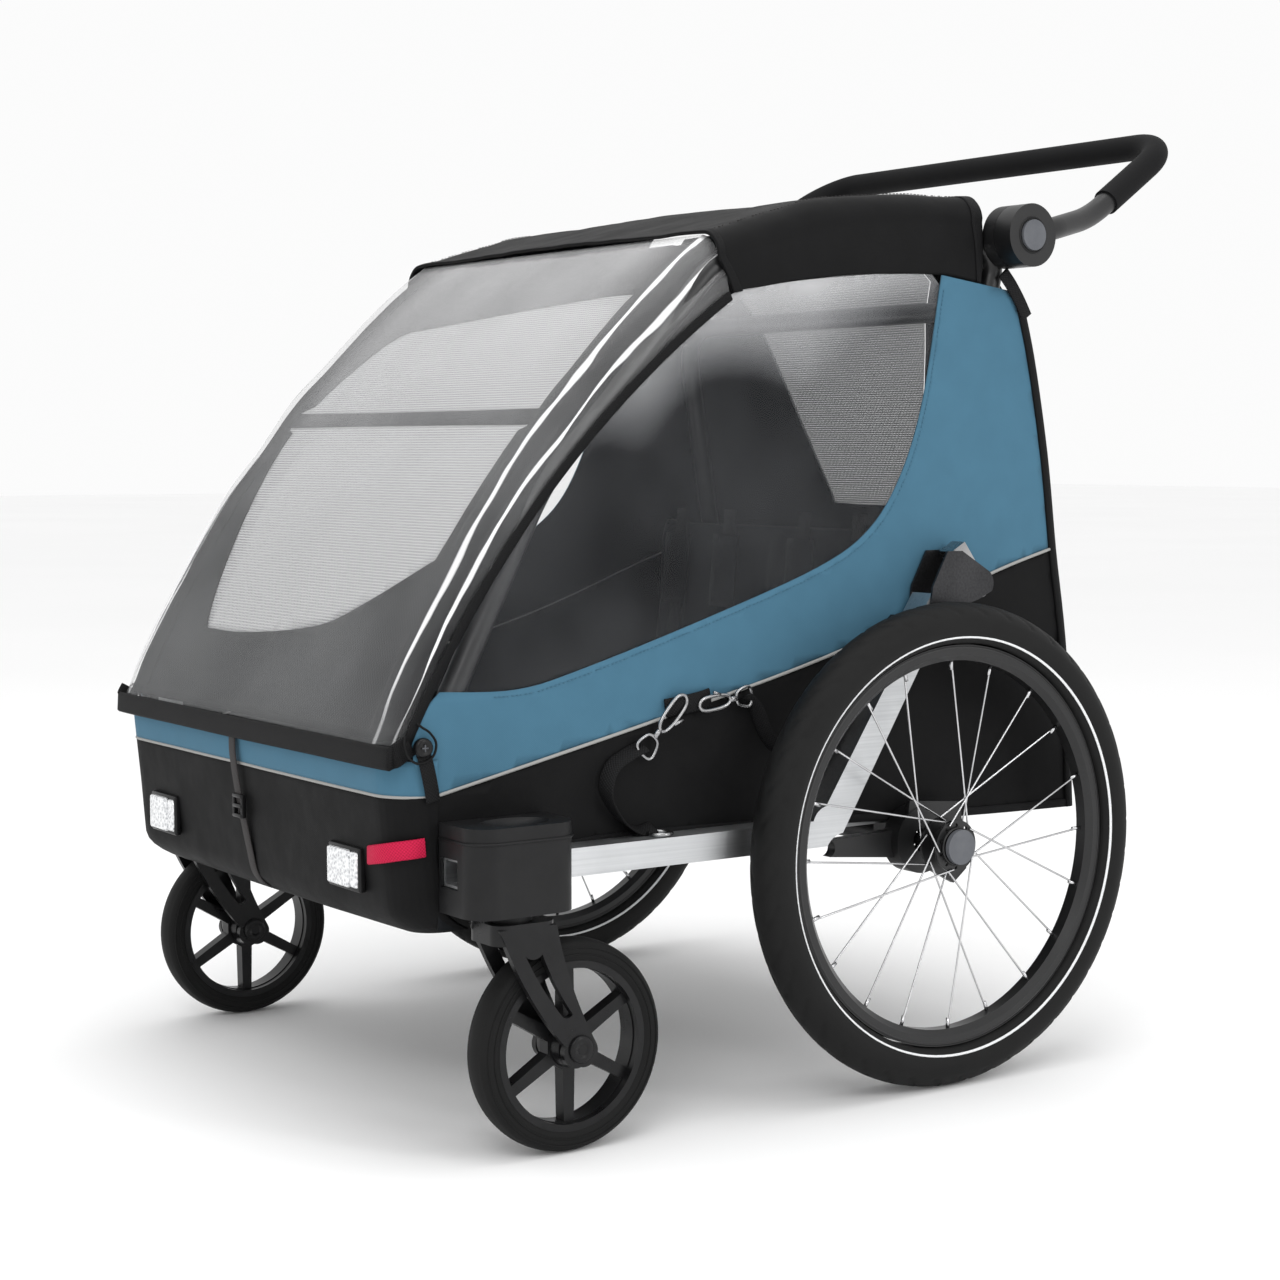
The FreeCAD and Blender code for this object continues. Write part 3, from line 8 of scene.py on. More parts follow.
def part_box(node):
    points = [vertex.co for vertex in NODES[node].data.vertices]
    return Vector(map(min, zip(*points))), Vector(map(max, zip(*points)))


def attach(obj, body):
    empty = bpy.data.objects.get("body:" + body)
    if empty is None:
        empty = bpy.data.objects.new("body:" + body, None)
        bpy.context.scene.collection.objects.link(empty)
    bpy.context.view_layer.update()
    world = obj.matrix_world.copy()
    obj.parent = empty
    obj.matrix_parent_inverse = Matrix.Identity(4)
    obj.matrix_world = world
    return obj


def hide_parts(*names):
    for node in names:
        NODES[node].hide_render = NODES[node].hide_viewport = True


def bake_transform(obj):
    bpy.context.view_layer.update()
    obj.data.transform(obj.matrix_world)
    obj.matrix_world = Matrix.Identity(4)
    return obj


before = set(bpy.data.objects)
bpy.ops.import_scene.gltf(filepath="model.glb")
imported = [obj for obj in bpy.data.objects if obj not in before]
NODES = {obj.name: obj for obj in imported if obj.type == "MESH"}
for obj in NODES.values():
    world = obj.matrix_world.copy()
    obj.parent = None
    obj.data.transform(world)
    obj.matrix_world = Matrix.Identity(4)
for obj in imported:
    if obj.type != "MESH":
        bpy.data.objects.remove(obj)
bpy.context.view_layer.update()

# Child bicycle trailer. Points are written in millimetres from the ground under the rear axle's middle,
# and at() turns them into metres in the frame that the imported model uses.

TYRE_LOW, TYRE_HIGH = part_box("wheel_tyre_left")
AXLE = (TYRE_LOW + TYRE_HIGH) / 2
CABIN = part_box("rain_cover")[1].x * 1000
SIDES = (("left", 1), ("right", -1))
MM = 0.001


def at(x, y, z):
    return Vector((x * MM, y * MM + AXLE.y, z * MM))


# --- curves ---------------------------------------------------------------------------------------

def mix(a, b, share):
    return tuple(p + (q - p) * share for p, q in zip(a, b))


def smooth(points, steps=8, closed=False):
    """Catmull-Rom line through points of any dimension."""
    count = len(points)
    line = []
    for i in range(count if closed else count - 1):
        if closed:
            p0, p1, p2, p3 = (points[(i + k) % count] for k in (-1, 0, 1, 2))
        else:
            p0, p1, p2, p3 = points[max(i - 1, 0)], points[i], points[i + 1], points[min(i + 2, count - 1)]
        for step in range(steps):
            t = step / steps
            line.append(tuple(0.5 * (2 * b + (c - a) * t + (2 * a - 5 * b + 4 * c - d) * t * t
                                     + (3 * b - a - 3 * c + d) * t ** 3)
                              for a, b, c, d in zip(p0, p1, p2, p3)))
    if not closed:
        line.append(tuple(points[-1]))
    return line


def route(points):
    """A smooth line in metres through points given in mm."""
    return [at(*p) for p in smooth(points, 8)]


def eased(points):
    """A smooth line through points given in metres."""
    return [Vector(p) for p in smooth([tuple(p) for p in points], 6)]


def bowed(start, end, bow, steps=16):
    """Line between two 2-D points that bows to its left by bow in the middle."""
    way = Vector(end) - Vector(start)
    left = Vector((-way.y, way.x)).normalized()
    line = []
    for i in range(steps + 1):
        t = i / steps
        line.append(tuple(Vector(start) + way * t + left * bow * 4 * t * (1 - t)))
    return line


def along(line, share):
    """The point at a share of a polyline's points."""
    place = min(max(share, 0.0), 1.0) * (len(line) - 1)
    index = min(int(place), len(line) - 2)
    return mix(line[index], line[index + 1], place - index)


def inside(point, loop):
    x, y = point
    hit = False
    for (x0, y0), (x1, y1) in zip(loop, loop[1:] + loop[:1]):
        if (y0 > y) != (y1 > y) and x < (x1 - x0) * (y - y0) / (y1 - y0) + x0:
            hit = not hit
    return hit


def area_of(loop):
    return abs(sum(a[0] * b[1] - b[0] * a[1] for a, b in zip(loop, loop[1:] + loop[:1]))) / 2


# --- mesh helpers ---------------------------------------------------------------------------------

def new_object(name, verts, faces, material, uvs=None):
    mesh = bpy.data.meshes.new(name)
    mesh.from_pydata([tuple(v) for v in verts], [], faces)
    if uvs is not None:
        layer = mesh.uv_layers.new(name="cloth")
        for loop in mesh.loops:
            layer.data[loop.index].uv = uvs[loop.vertex_index]
    mesh.materials.append(material)
    mesh.shade_smooth()
    mesh.validate()
    obj = bpy.data.objects.new(name, mesh)
    bpy.context.scene.collection.objects.link(obj)
    return obj


def apply_modifiers(obj):
    depsgraph = bpy.context.evaluated_depsgraph_get()
    mesh = bpy.data.meshes.new_from_object(obj.evaluated_get(depsgraph))
    obj.modifiers.clear()
    obj.data = mesh
    return obj


MIDDLE = Vector((0, AXLE.y - 0.2, 0.55))


def thicken(obj, thick, lining=None, offset=-1.0):
    """Gives a cabin cloth its thickness inwards, with another material inside if there is one."""
    outward = sum((f.normal.dot(f.center - MIDDLE) for f in obj.data.polygons), 0.0)
    if outward < 0:
        obj.data.flip_normals()
    solid = obj.modifiers.new("thick", "SOLIDIFY")
    solid.thickness = thick * MM
    solid.offset = offset
    if lining:
        obj.data.materials.append(lining)
        solid.material_offset = 1
    return apply_modifiers(obj)


def panel(name, outline, place, material, holes=(), cell=14.0, thick=1.6, lining=None, offset=-1.0):
    """A cloth panel: a flat outline with holes, meshed evenly and put in place by place(u, v)."""
    loops = [list(outline)] + [list(h) for h in holes]
    verts, edges = [], []
    for loop in loops:
        start = len(verts)
        verts += [Vector(p) for p in loop]
        edges += [(start + i, start + (i + 1) % len(loop)) for i in range(len(loop))]
    us, vs = [p[0] for p in outline], [p[1] for p in outline]
    row = 0
    v = min(vs) + cell / 2
    while v < max(vs):
        u = min(us) + cell / 2 * (1 + row % 2)
        while u < max(us):
            spot = (u, v)
            if inside(spot, loops[0]) and not any(inside(spot, h) for h in loops[1:]):
                verts.append(Vector(spot))
            u += cell
        v += cell * 0.87
        row += 1
    points, _, tris, _, _, _ = geometry.delaunay_2d_cdt(verts, edges, [], 0, 0.001)
    kept = []
    for tri in tris:
        middle = sum((points[i] for i in tri), Vector((0, 0))) / len(tri)
        if inside(middle, loops[0]) and not any(inside(middle, h) for h in loops[1:]):
            kept.append(list(tri))
    used = sorted({i for tri in kept for i in tri})
    number = {old: new for new, old in enumerate(used)}
    placed = [place(*points[i]) for i in used]
    obj = new_object(name, placed, [[number[i] for i in tri] for tri in kept], material,
                     [(points[i].x * MM, points[i].y * MM) for i in used])
    return thicken(obj, thick, lining, offset)


def grid(name, rows, columns, place, material, thick=0.0, lining=None, size=(1.0, 1.0), offset=-1.0):
    """A surface place(s, t) over the unit square, with cloth coordinates of the given size in metres."""
    verts, uvs = [], []
    for r in range(rows + 1):
        for c in range(columns + 1):
            s, t = c / columns, r / rows
            verts.append(place(s, t))
            uvs.append((s * size[0], t * size[1]))
    width = columns + 1
    faces = []
    for r in range(rows):
        for c in range(columns):
            a = r * width + c
            faces.append((a, a + 1, a + 1 + width, a + width))
    obj = new_object(name, verts, faces, material, uvs)
    return thicken(obj, thick, lining, offset) if thick else obj


def ribbon(name, line, across, wide, thick, material, crown=0.0):
    """A flat strip along 3-D points in metres, with its width along across."""
    verts, uvs, faces = [], [], []
    length = 0.0
    ring = [(-0.5, 0.0), (-0.42, 0.5), (0.0, 0.5 + crown), (0.42, 0.5), (0.5, 0.0), (0.42, -0.5), (0.0, -0.5),
            (-0.42, -0.5)]
    for i, point in enumerate(line):
        before, after = line[max(i - 1, 0)], line[min(i + 1, len(line) - 1)]
        way = (after - before).normalized()
        side = (across - way * across.dot(way)).normalized()
        up = side.cross(way).normalized()
        length += (point - before).length if i else 0.0
        for u, v in ring:
            verts.append(point + side * (u * wide * MM) + up * (v * thick * MM))
            uvs.append((u * wide * MM, length))
    count = len(ring)
    for i in range(len(line) - 1):
        for k in range(count):
            a, b = i * count + k, i * count + (k + 1) % count
            faces.append((a, a + count, b + count, b))
    faces.append(tuple(range(count)))
    faces.append(tuple(range(len(line) * count - count, len(line) * count))[::-1])
    return new_object(name, verts, faces, material, uvs)


def rod(name, line, radius, material, sides=12, closed=False):
    """A round rod along 3-D points in metres."""
    verts, faces = [], []
    up = Vector((0.3, 0.2, 1.0)).normalized()
    count = len(line)
    for i, point in enumerate(line):
        before = line[(i - 1) % count] if closed else line[max(i - 1, 0)]
        after = line[(i + 1) % count] if closed else line[min(i + 1, count - 1)]
        way = (after - before).normalized()
        side = way.cross(up).normalized()
        up = side.cross(way).normalized()
        for k in range(sides):
            angle = 2 * math.pi * k / sides
            verts.append(point + (side * math.cos(angle) + up * math.sin(angle)) * radius * MM)
    for i in range(count if closed else count - 1):
        for k in range(sides):
            a, b = i * sides + k, i * sides + (k + 1) % sides
            c, d = ((i + 1) % count) * sides + (k + 1) % sides, ((i + 1) % count) * sides + k
            faces.append((a, b, c, d))
    if not closed:
        faces.append(tuple(range(sides))[::-1])
        faces.append(tuple(range((count - 1) * sides, count * sides)))
    return new_object(name, verts, faces, material)


def turned(name, profile, centre, axis, material, steps=48, closed=False):
    """A solid of revolution: profile points are (along the axis, radius) in mm from centre."""
    axis = Vector(axis).normalized()
    side = axis.orthogonal().normalized()
    up = axis.cross(side)
    verts, faces = [], []
    count = len(profile)
    for i in range(steps):
        angle = 2 * math.pi * i / steps
        out = side * math.cos(angle) + up * math.sin(angle)
        verts += [centre + axis * (a * MM) + out * (r * MM) for a, r in profile]
    for i in range(steps):
        for k in range(count if closed else count - 1):
            a, b = i * count + k, i * count + (k + 1) % count
            c, d = ((i + 1) % steps) * count + (k + 1) % count, ((i + 1) % steps) * count + k
            faces.append((a, b, c, d))
    obj = new_object(name, verts, faces, material)
    clean = bmesh.new()
    clean.from_mesh(obj.data)
    bmesh.ops.remove_doubles(clean, verts=clean.verts, dist=1e-6)
    bmesh.ops.recalc_face_normals(clean, faces=clean.faces)
    clean.to_mesh(obj.data)
    clean.free()
    return obj


def block(name, low, high, material, bevel=2.0, segments=3):
    """A block between two corners in metres, with rounded edges."""
    low, high = Vector(low), Vector(high)
    corners = [Vector((x, y, z)) for x in (low.x, high.x) for y in (low.y, high.y) for z in (low.z, high.z)]
    faces = [(0, 1, 3, 2), (4, 6, 7, 5), (0, 4, 5, 1), (2, 3, 7, 6), (0, 2, 6, 4), (1, 5, 7, 3)]
    obj = new_object(name, corners, faces, material)
    edge = obj.modifiers.new("round", "BEVEL")
    edge.width = bevel * MM
    edge.segments = segments
    return apply_modifiers(obj)


def joined(name, objects):
    """Joins pieces of one sub-part into one object."""
    mesh = bmesh.new()
    materials = []
    layer = mesh.loops.layers.uv.new("cloth")
    for obj in objects:
        part = bmesh.new()
        part.from_mesh(obj.data)
        own = part.loops.layers.uv.get("cloth")
        index = []
        for material in obj.data.materials:
            if material not in materials:
                materials.append(material)
            index.append(materials.index(material))
        verts = [mesh.verts.new(obj.matrix_world @ v.co) for v in part.verts]
        for face in part.faces:
            try:
                made = mesh.faces.new([verts[v.index] for v in face.verts])
            except ValueError:
                continue
            made.material_index = index[face.material_index] if index else 0
            made.smooth = face.smooth
            if own:
                for new_loop, old_loop in zip(made.loops, face.loops):
                    new_loop[layer].uv = old_loop[own].uv
        part.free()
    data = bpy.data.meshes.new(name)
    mesh.to_mesh(data)
    mesh.free()
    for material in materials:
        data.materials.append(material)
    for obj in objects:
        bpy.data.objects.remove(obj)
    whole = bpy.data.objects.new(name, data)
    bpy.context.scene.collection.objects.link(whole)
    return whole


def ripple(point, size, seed=0.0):
    """Smooth noise at a place in metres, from -1 to 1."""
    return noise.noise(Vector(point) * (1000.0 / size) + Vector((seed, seed * 1.7, -seed)))


# --- materials ------------------------------------------------------------------------------------

class Shader:
    """Builds one node material around a Principled shader."""

    def __init__(self, name):
        self.material = bpy.data.materials.new(name)
        self.material.use_nodes = True
        self.tree = self.material.node_tree
        self.surface = self.tree.nodes["Principled BSDF"]

    def node(self, kind, inputs=None, **settings):
        made = self.tree.nodes.new(kind)
        for key, value in settings.items():
            setattr(made, key, value)
        for key, value in (inputs or {}).items():
            self.put(made.inputs[key], value)
        return made

    def put(self, socket, value):
        if isinstance(value, bpy.types.NodeSocket):
            self.tree.links.new(value, socket)
        elif isinstance(value, tuple) and len(value) == 3 and socket.type == "RGBA":
            socket.default_value = value + (1.0,)
        else:
            socket.default_value = value

    def set(self, **values):
        for key, value in values.items():
            self.put(self.surface.inputs[key.replace("_", " ")], value)
        return self

    def math(self, operation, a, b=0.0, clamp=False):
        made = self.node("ShaderNodeMath", operation=operation, use_clamp=clamp)
        self.put(made.inputs[0], a)
        self.put(made.inputs[1], b)
        return made.outputs[0]

    def place(self):
        return self.node("ShaderNodeTexCoord").outputs["Object"]

    def cloth_place(self):
        return self.node("ShaderNodeUVMap", uv_map="cloth").outputs["UV"]

    def noise(self, scale, detail=3.0, where=None, roughness=0.5):
        made = self.node("ShaderNodeTexNoise", {"Scale": scale, "Detail": detail, "Roughness": roughness})
        self.put(made.inputs["Vector"], where if where is not None else self.place())
        return made.outputs["Fac"]

    def ramp(self, value, low, high, start=(0.0, 0.0, 0.0), end=(1.0, 1.0, 1.0)):
        made = self.node("ShaderNodeMapRange", {"Value": value, "From Min": low, "From Max": high})
        blend = self.node("ShaderNodeMix", data_type="RGBA")
        self.put(blend.inputs["Factor"], made.outputs["Result"])
        self.put(blend.inputs[6], start)
        self.put(blend.inputs[7], end)
        return blend.outputs[2]

    def span(self, value, low, high, start, end):
        made = self.node("ShaderNodeMapRange", {"Value": value, "From Min": low, "From Max": high,
                                                "To Min": start, "To Max": end})
        return made.outputs["Result"]

    def bump(self, height, strength=0.3, distance=0.001, below=None):
        made = self.node("ShaderNodeBump", {"Height": height, "Strength": strength, "Distance": distance})
        if below is not None:
            self.put(made.inputs["Normal"], below)
        return made.outputs["Normal"]

    def threads(self, pitch, where):
        """Height of a plain weave with that thread pitch in mm, and its two separate waves."""
        split = self.node("ShaderNodeSeparateXYZ", {"Vector": where})
        rate = math.pi / (pitch * MM)
        warp = self.math("SINE", self.math("MULTIPLY", split.outputs["X"], rate))
        weft = self.math("SINE", self.math("MULTIPLY", split.outputs["Y"], rate))
        return self.math("MULTIPLY", warp, weft), warp, weft


def fabric(name, colour, shade, pitch=0.9, rough=0.75, sheen=0.25, uv=True, wrinkle=0.5):
    """Coated woven cloth: fine weave, faint mottling, soft wrinkles."""
    s = Shader(name)
    where = s.cloth_place() if uv else s.place()
    weave = s.threads(pitch, where)[0]
    mottle = s.noise(26.0, 4.0)
    tint = s.ramp(s.math("ADD", mottle, s.math("MULTIPLY", weave, 0.07)), 0.34, 0.70, shade, colour)
    fine = s.bump(weave, 0.16, 0.0003)
    soft = s.bump(s.noise(11.0, 3.0), wrinkle, 0.006, fine)
    s.set(Base_Color=tint, Roughness=s.span(mottle, 0.3, 0.7, rough - 0.06, rough + 0.06), Normal=soft)
    return s.set(Sheen_Weight=sheen, Sheen_Roughness=0.4, Specular_IOR_Level=0.12).material


def webbing(name, colour, shade, pitch=1.6):
    """Narrow woven tape with a coarse weave."""
    s = Shader(name)
    height = s.threads(pitch, s.cloth_place())[0]
    tint = s.ramp(height, -0.8, 0.8, shade, colour)
    s.set(Base_Color=tint, Roughness=0.62, Normal=s.bump(height, 0.5, 0.0006))
    return s.set(Specular_IOR_Level=0.14).material


def mesh_cloth(name, colour, shade, pitch, hole, floor):
    """Open mesh: threads with see-through holes between them."""
    s = Shader(name)
    _, warp, weft = s.threads(pitch, s.cloth_place())
    lines = s.math("MAXIMUM", s.math("ABSOLUTE", warp), s.math("ABSOLUTE", weft))
    thread = s.span(lines, hole, hole + 0.12, floor, 1.0)
    tint = s.ramp(lines, hole, 1.0, shade, colour)
    s.set(Base_Color=tint, Alpha=thread, Roughness=0.7, Normal=s.bump(lines, 0.4, 0.0005))
    return s.set(Specular_IOR_Level=0.3).material


def crease_highlight(s, across, down, place, wave, width, seed):
    """A painted highlight down the cloth: a white line at one place across it, where a crease would catch the
    light, wavering and broken along its length.
    """
    bend = s.noise(4.2, 3.0, where=s.node("ShaderNodeCombineXYZ", {"X": seed, "Y": down}).outputs[0])
    line = s.math("ADD", s.math("MULTIPLY", s.math("SUBTRACT", bend, 0.5), wave), place)
    gap = s.math("ABSOLUTE", s.math("SUBTRACT", across, line))
    thick = s.noise(9.0, 2.0, where=s.node("ShaderNodeCombineXYZ", {"X": seed + 5.0, "Y": down}).outputs[0])
    reach = s.span(thick, 0.35, 0.65, width * 0.25, width)
    core = s.math("SUBTRACT", 1.0, s.math("DIVIDE", gap, reach), clamp=True)
    return s.math("POWER", core, 0.45)


def vinyl(name, alpha, tint, gain, crease_highlights=False, painted_top_reflection=0.0):
    """Clear soft film with ripples: mostly see-through, glossier at a slant, with painted white highlights
    where it is creased and painted reflections that whiten it towards its top.
    """
    s = Shader(name)
    facing = s.node("ShaderNodeLayerWeight", {"Blend": 0.42}).outputs["Facing"]
    haze = s.noise(7.0, 2.0)
    cover = s.math("ADD", s.math("MULTIPLY", facing, gain),
                   s.span(haze, 0.3, 0.7, alpha - 0.02, alpha + 0.02))
    colour = tint
    if crease_highlights:
        split = s.node("ShaderNodeSeparateXYZ", {"Vector": s.cloth_place()})
        across = s.math("ABSOLUTE", s.math("SUBTRACT", split.outputs["X"], 0.38))
        down = split.outputs["Y"]
        # Painted highlight: two wavering white streaks near each front corner, almost opaque, where creases
        # in the film would catch the light; they fade out near the hem.
        lines = s.math("MAXIMUM", crease_highlight(s, across, down, 0.330, 0.034, 0.0062, 1.0),
                       crease_highlight(s, across, down, 0.358, 0.030, 0.0040, 2.0))
        lines = s.math("MULTIPLY", lines, s.span(down, 0.02, 0.10, 0.3, 1.0))
        cover = s.math("ADD", cover, s.math("MULTIPLY", lines, 0.85))
        # Painted reflection: the film turns whiter and more opaque towards its top, more over the front face
        # than at the corners, standing in for the bright surroundings reflected in it.
        painted_reflection = s.span(s.math("ADD", down, s.math("MULTIPLY", haze, 0.2)), 0.30, 0.78, 0.0, 0.24)
        cover = s.math("ADD", cover, s.math("MULTIPLY", painted_reflection, s.span(across, 0.22, 0.31, 1.0, 0.15)))
        # Painted reflection: the film's colour also goes paler towards its top.
        pale = s.ramp(down, 0.15, 0.60, tint, (0.80, 0.80, 0.81))
        colour = s.ramp(lines, 0.0, 0.6, pale, (0.96, 0.96, 0.97))
    # Painted reflection: a whitish, more opaque band near the window's top and front edge, standing in for
    # light reflected by the film.
    if painted_top_reflection:
        split = s.node("ShaderNodeSeparateXYZ", {"Vector": s.cloth_place()})
        height = s.math("ADD", split.outputs["Y"], s.math("MULTIPLY", s.noise(5.0, 1.0), 0.22))
        height = s.math("ADD", height, s.math("MULTIPLY", split.outputs["X"], -0.35))
        painted_reflection = s.span(height, 0.88, 1.02, 0.0, painted_top_reflection)
        cover = s.math("ADD", cover, s.math("MAXIMUM", painted_reflection, 0.0))
        colour = s.ramp(painted_reflection, 0.0, painted_top_reflection, tint, (0.93, 0.93, 0.94))
    soft = s.bump(s.noise(9.0, 2.5), 0.35, 0.012)
    s.set(Base_Color=colour, Alpha=s.math("MINIMUM", cover, 0.95), Normal=soft,
          Roughness=s.span(haze, 0.3, 0.7, 0.06, 0.16))
    return s.set(IOR=1.5, Specular_IOR_Level=0.6, Coat_Weight=0.3, Coat_Roughness=0.05).material


def plastic(name, colour, shade, rough=0.5, grain=900.0, depth=0.12):
    """Moulded plastic: fine grain and faint scuffs."""
    s = Shader(name)
    scuff = s.noise(34.0, 6.0, roughness=0.65)
    s.set(Base_Color=s.ramp(scuff, 0.35, 0.72, shade, colour),
          Roughness=s.span(scuff, 0.3, 0.75, rough - 0.07, rough + 0.09),
          Normal=s.bump(s.noise(grain, 2.0), depth, 0.0003))
    return s.set(Specular_IOR_Level=0.24).material


def rubber(name, colour, shade, rough=0.7):
    s = Shader(name)
    dust = s.noise(18.0, 6.0, roughness=0.7)
    s.set(Base_Color=s.ramp(dust, 0.4, 0.75, shade, colour),
          Roughness=s.span(dust, 0.3, 0.7, rough - 0.1, rough + 0.1),
          Normal=s.bump(s.noise(1400.0, 2.0), 0.15, 0.0003))
    return s.set(Specular_IOR_Level=0.16).material


def metal(name, colour, shade, rough=0.3, metallic=1.0, brushed=(6.0, 400.0, 400.0)):
    """Metal with drawn lines along one direction and slight smudges."""
    s = Shader(name)
    stretch = s.node("ShaderNodeMapping", {"Vector": s.place(), "Scale": brushed})
    lines = s.noise(1.0, 3.0, where=stretch.outputs["Vector"])
    smudge = s.noise(14.0, 4.0)
    s.set(Base_Color=s.ramp(s.math("ADD", lines, smudge), 0.7, 1.3, shade, colour), Metallic=metallic,
          Roughness=s.span(smudge, 0.3, 0.7, rough - 0.06, rough + 0.08), Normal=s.bump(lines, 0.05, 0.0003))
    return s.material


def lens(name):
    """Clear prismatic reflector: small facets under a glossy face."""
    s = Shader(name)
    cells = s.node("ShaderNodeTexVoronoi", {"Vector": s.place(), "Scale": 300.0}, feature="F1")
    s.set(Base_Color=s.ramp(cells.outputs["Distance"], 0.1, 0.7, (0.45, 0.46, 0.48), (0.95, 0.96, 0.97)),
          Roughness=0.12, Normal=s.bump(cells.outputs["Distance"], 0.9, 0.0015))
    return s.set(Coat_Weight=1.0, Coat_Roughness=0.04, Metallic=0.35).material


def stripe(name):
    """Reflective tape: silver with a fine honeycomb."""
    s = Shader(name)
    cells = s.node("ShaderNodeTexVoronoi", {"Vector": s.place(), "Scale": 900.0}, feature="DISTANCE_TO_EDGE")
    s.set(Base_Color=s.ramp(cells.outputs["Distance"], 0.0, 0.1, (0.55, 0.56, 0.57), (0.90, 0.91, 0.92)),
          Roughness=0.3, Normal=s.bump(cells.outputs["Distance"], 0.2, 0.0003))
    return s.material


BLUE = fabric("blue_cloth", (0.064, 0.162, 0.238), (0.058, 0.150, 0.222), wrinkle=0.22, sheen=0.08)
LINING = fabric("dark_lining", (0.012, 0.013, 0.015), (0.007, 0.008, 0.009), wrinkle=0.4, sheen=0.0)
BLACK = fabric("black_cloth", (0.0065, 0.0065, 0.0068), (0.0035, 0.0035, 0.0038), rough=0.62, sheen=0.0)
SCREEN = fabric("screen_cloth", (0.010, 0.010, 0.011), (0.007, 0.007, 0.0075), pitch=2.4, rough=0.8,
                sheen=0.0,
                wrinkle=0.10)
ROOF = fabric("roof_cloth", (0.0070, 0.0070, 0.0074), (0.0040, 0.0040, 0.0043), pitch=1.1, rough=0.66,
              sheen=0.02)
GREY = fabric("seat_cloth", (0.017, 0.018, 0.020), (0.010, 0.011, 0.013), pitch=1.4, uv=False, sheen=0.05)
BINDING = webbing("black_binding", (0.009, 0.009, 0.0095), (0.004, 0.004, 0.0045), 1.2)
WEB = webbing("black_webbing", (0.011, 0.011, 0.012), (0.004, 0.004, 0.004))
WEB_GREY = webbing("grey_webbing", (0.060, 0.056, 0.056), (0.028, 0.026, 0.026))
RED = webbing("red_webbing", (0.62, 0.016, 0.075), (0.42, 0.008, 0.040))
PIPING = webbing("grey_piping", (0.40, 0.40, 0.39), (0.26, 0.26, 0.25), 1.2)
FRONT_MESH = mesh_cloth("front_mesh", (0.56, 0.56, 0.565), (0.22, 0.22, 0.225), 3.3, 0.70, 0.40)
REAR_MESH = mesh_cloth("rear_mesh", (0.50, 0.50, 0.505), (0.26, 0.26, 0.265), 2.6, 0.72, 0.30)
POCKET_MESH = mesh_cloth("pocket_mesh", (0.012, 0.012, 0.013), (0.006, 0.006, 0.007), 2.6, 0.60, 0.25)
# The cover film carries painted crease highlights and a painted reflection towards its top.
COVER_FILM = vinyl("cover_film", 0.035, (0.55, 0.56, 0.57), 0.10, crease_highlights=True)
# The window film carries a painted reflection near its top.
WINDOW_FILM = vinyl("window_film", 0.030, (0.30, 0.31, 0.33), 0.06, painted_top_reflection=0.5)
BLACK_PLASTIC = plastic("black_plastic", (0.0105, 0.0105, 0.011), (0.006, 0.006, 0.0065), 0.46)
SATIN_PLASTIC = plastic("satin_plastic", (0.010, 0.010, 0.0105), (0.0055, 0.0055, 0.006), 0.32, depth=0.05)
GREY_PLASTIC = plastic("grey_plastic", (0.125, 0.130, 0.142), (0.095, 0.100, 0.112), 0.42)
DARK_METAL = metal("black_paint", (0.011, 0.011, 0.0115), (0.007, 0.007, 0.0075), 0.36, 0.1)
ALUMINIUM = metal("satin_aluminium", (0.62, 0.63, 0.64), (0.48, 0.49, 0.50), 0.38,
                  brushed=(400.0, 5.0, 400.0))
STEEL = metal("zinc_steel", (0.42, 0.42, 0.42), (0.26, 0.26, 0.27), 0.24, brushed=(60.0, 60.0, 60.0))
SPOKE = metal("spoke_steel", (0.66, 0.66, 0.67), (0.50, 0.50, 0.51), 0.22, brushed=(40.0, 40.0, 40.0))
TYRE = rubber("tyre_rubber", (0.0125, 0.0125, 0.0125), (0.007, 0.007, 0.007), 0.62)
CASTER_RUBBER = rubber("caster_rubber", (0.0110, 0.0110, 0.0110), (0.006, 0.006, 0.006), 0.66)
FOAM = rubber("foam_grip", (0.0085, 0.0085, 0.009), (0.005, 0.005, 0.0055), 0.78)
BRACKET = metal("bracket_steel", (0.055, 0.055, 0.058), (0.030, 0.030, 0.032), 0.30, 0.8)
LENS = lens("reflector_lens")
STRIPE = stripe("reflective_stripe")

NODE_LOOKS = {
    ALUMINIUM: ["base_rail", "base_cross", "hitch_arm"],
    DARK_METAL: ["roof_rail", "roof_cross", "rear_hoop", "brake_unit", "wheel_hub", "wheel_rim",
                 "axle_beam", "handle_tube", "brake_pedal"],
    BLACK_PLASTIC: ["caster_housing", "floor_board", "handle_hub"],
    SATIN_PLASTIC: ["caster_fork", "caster_wheel"],
    CASTER_RUBBER: ["caster_tyre"],
    SPOKE: ["wheel_spokes"],
    GREY_PLASTIC: ["wheel_cap", "hub_button"],
    FOAM: ["handle_grip"],
    STEEL: ["hitch_coupler", "strap_ring"],
}
ROUNDED = {"caster_housing": 3.0, "caster_fork": 2.2, "caster_wheel": 1.2, "handle_hub": 4.0,
           "handle_tube": 3.0,
           "wheel_cap": 1.2, "hub_button": 1.0, "hitch_arm": 1.2, "hitch_coupler": 1.5, "wheel_hub": 0.6,
           "brake_unit": 1.5, "wheel_rim": 0.8, "base_rail": 1.5}


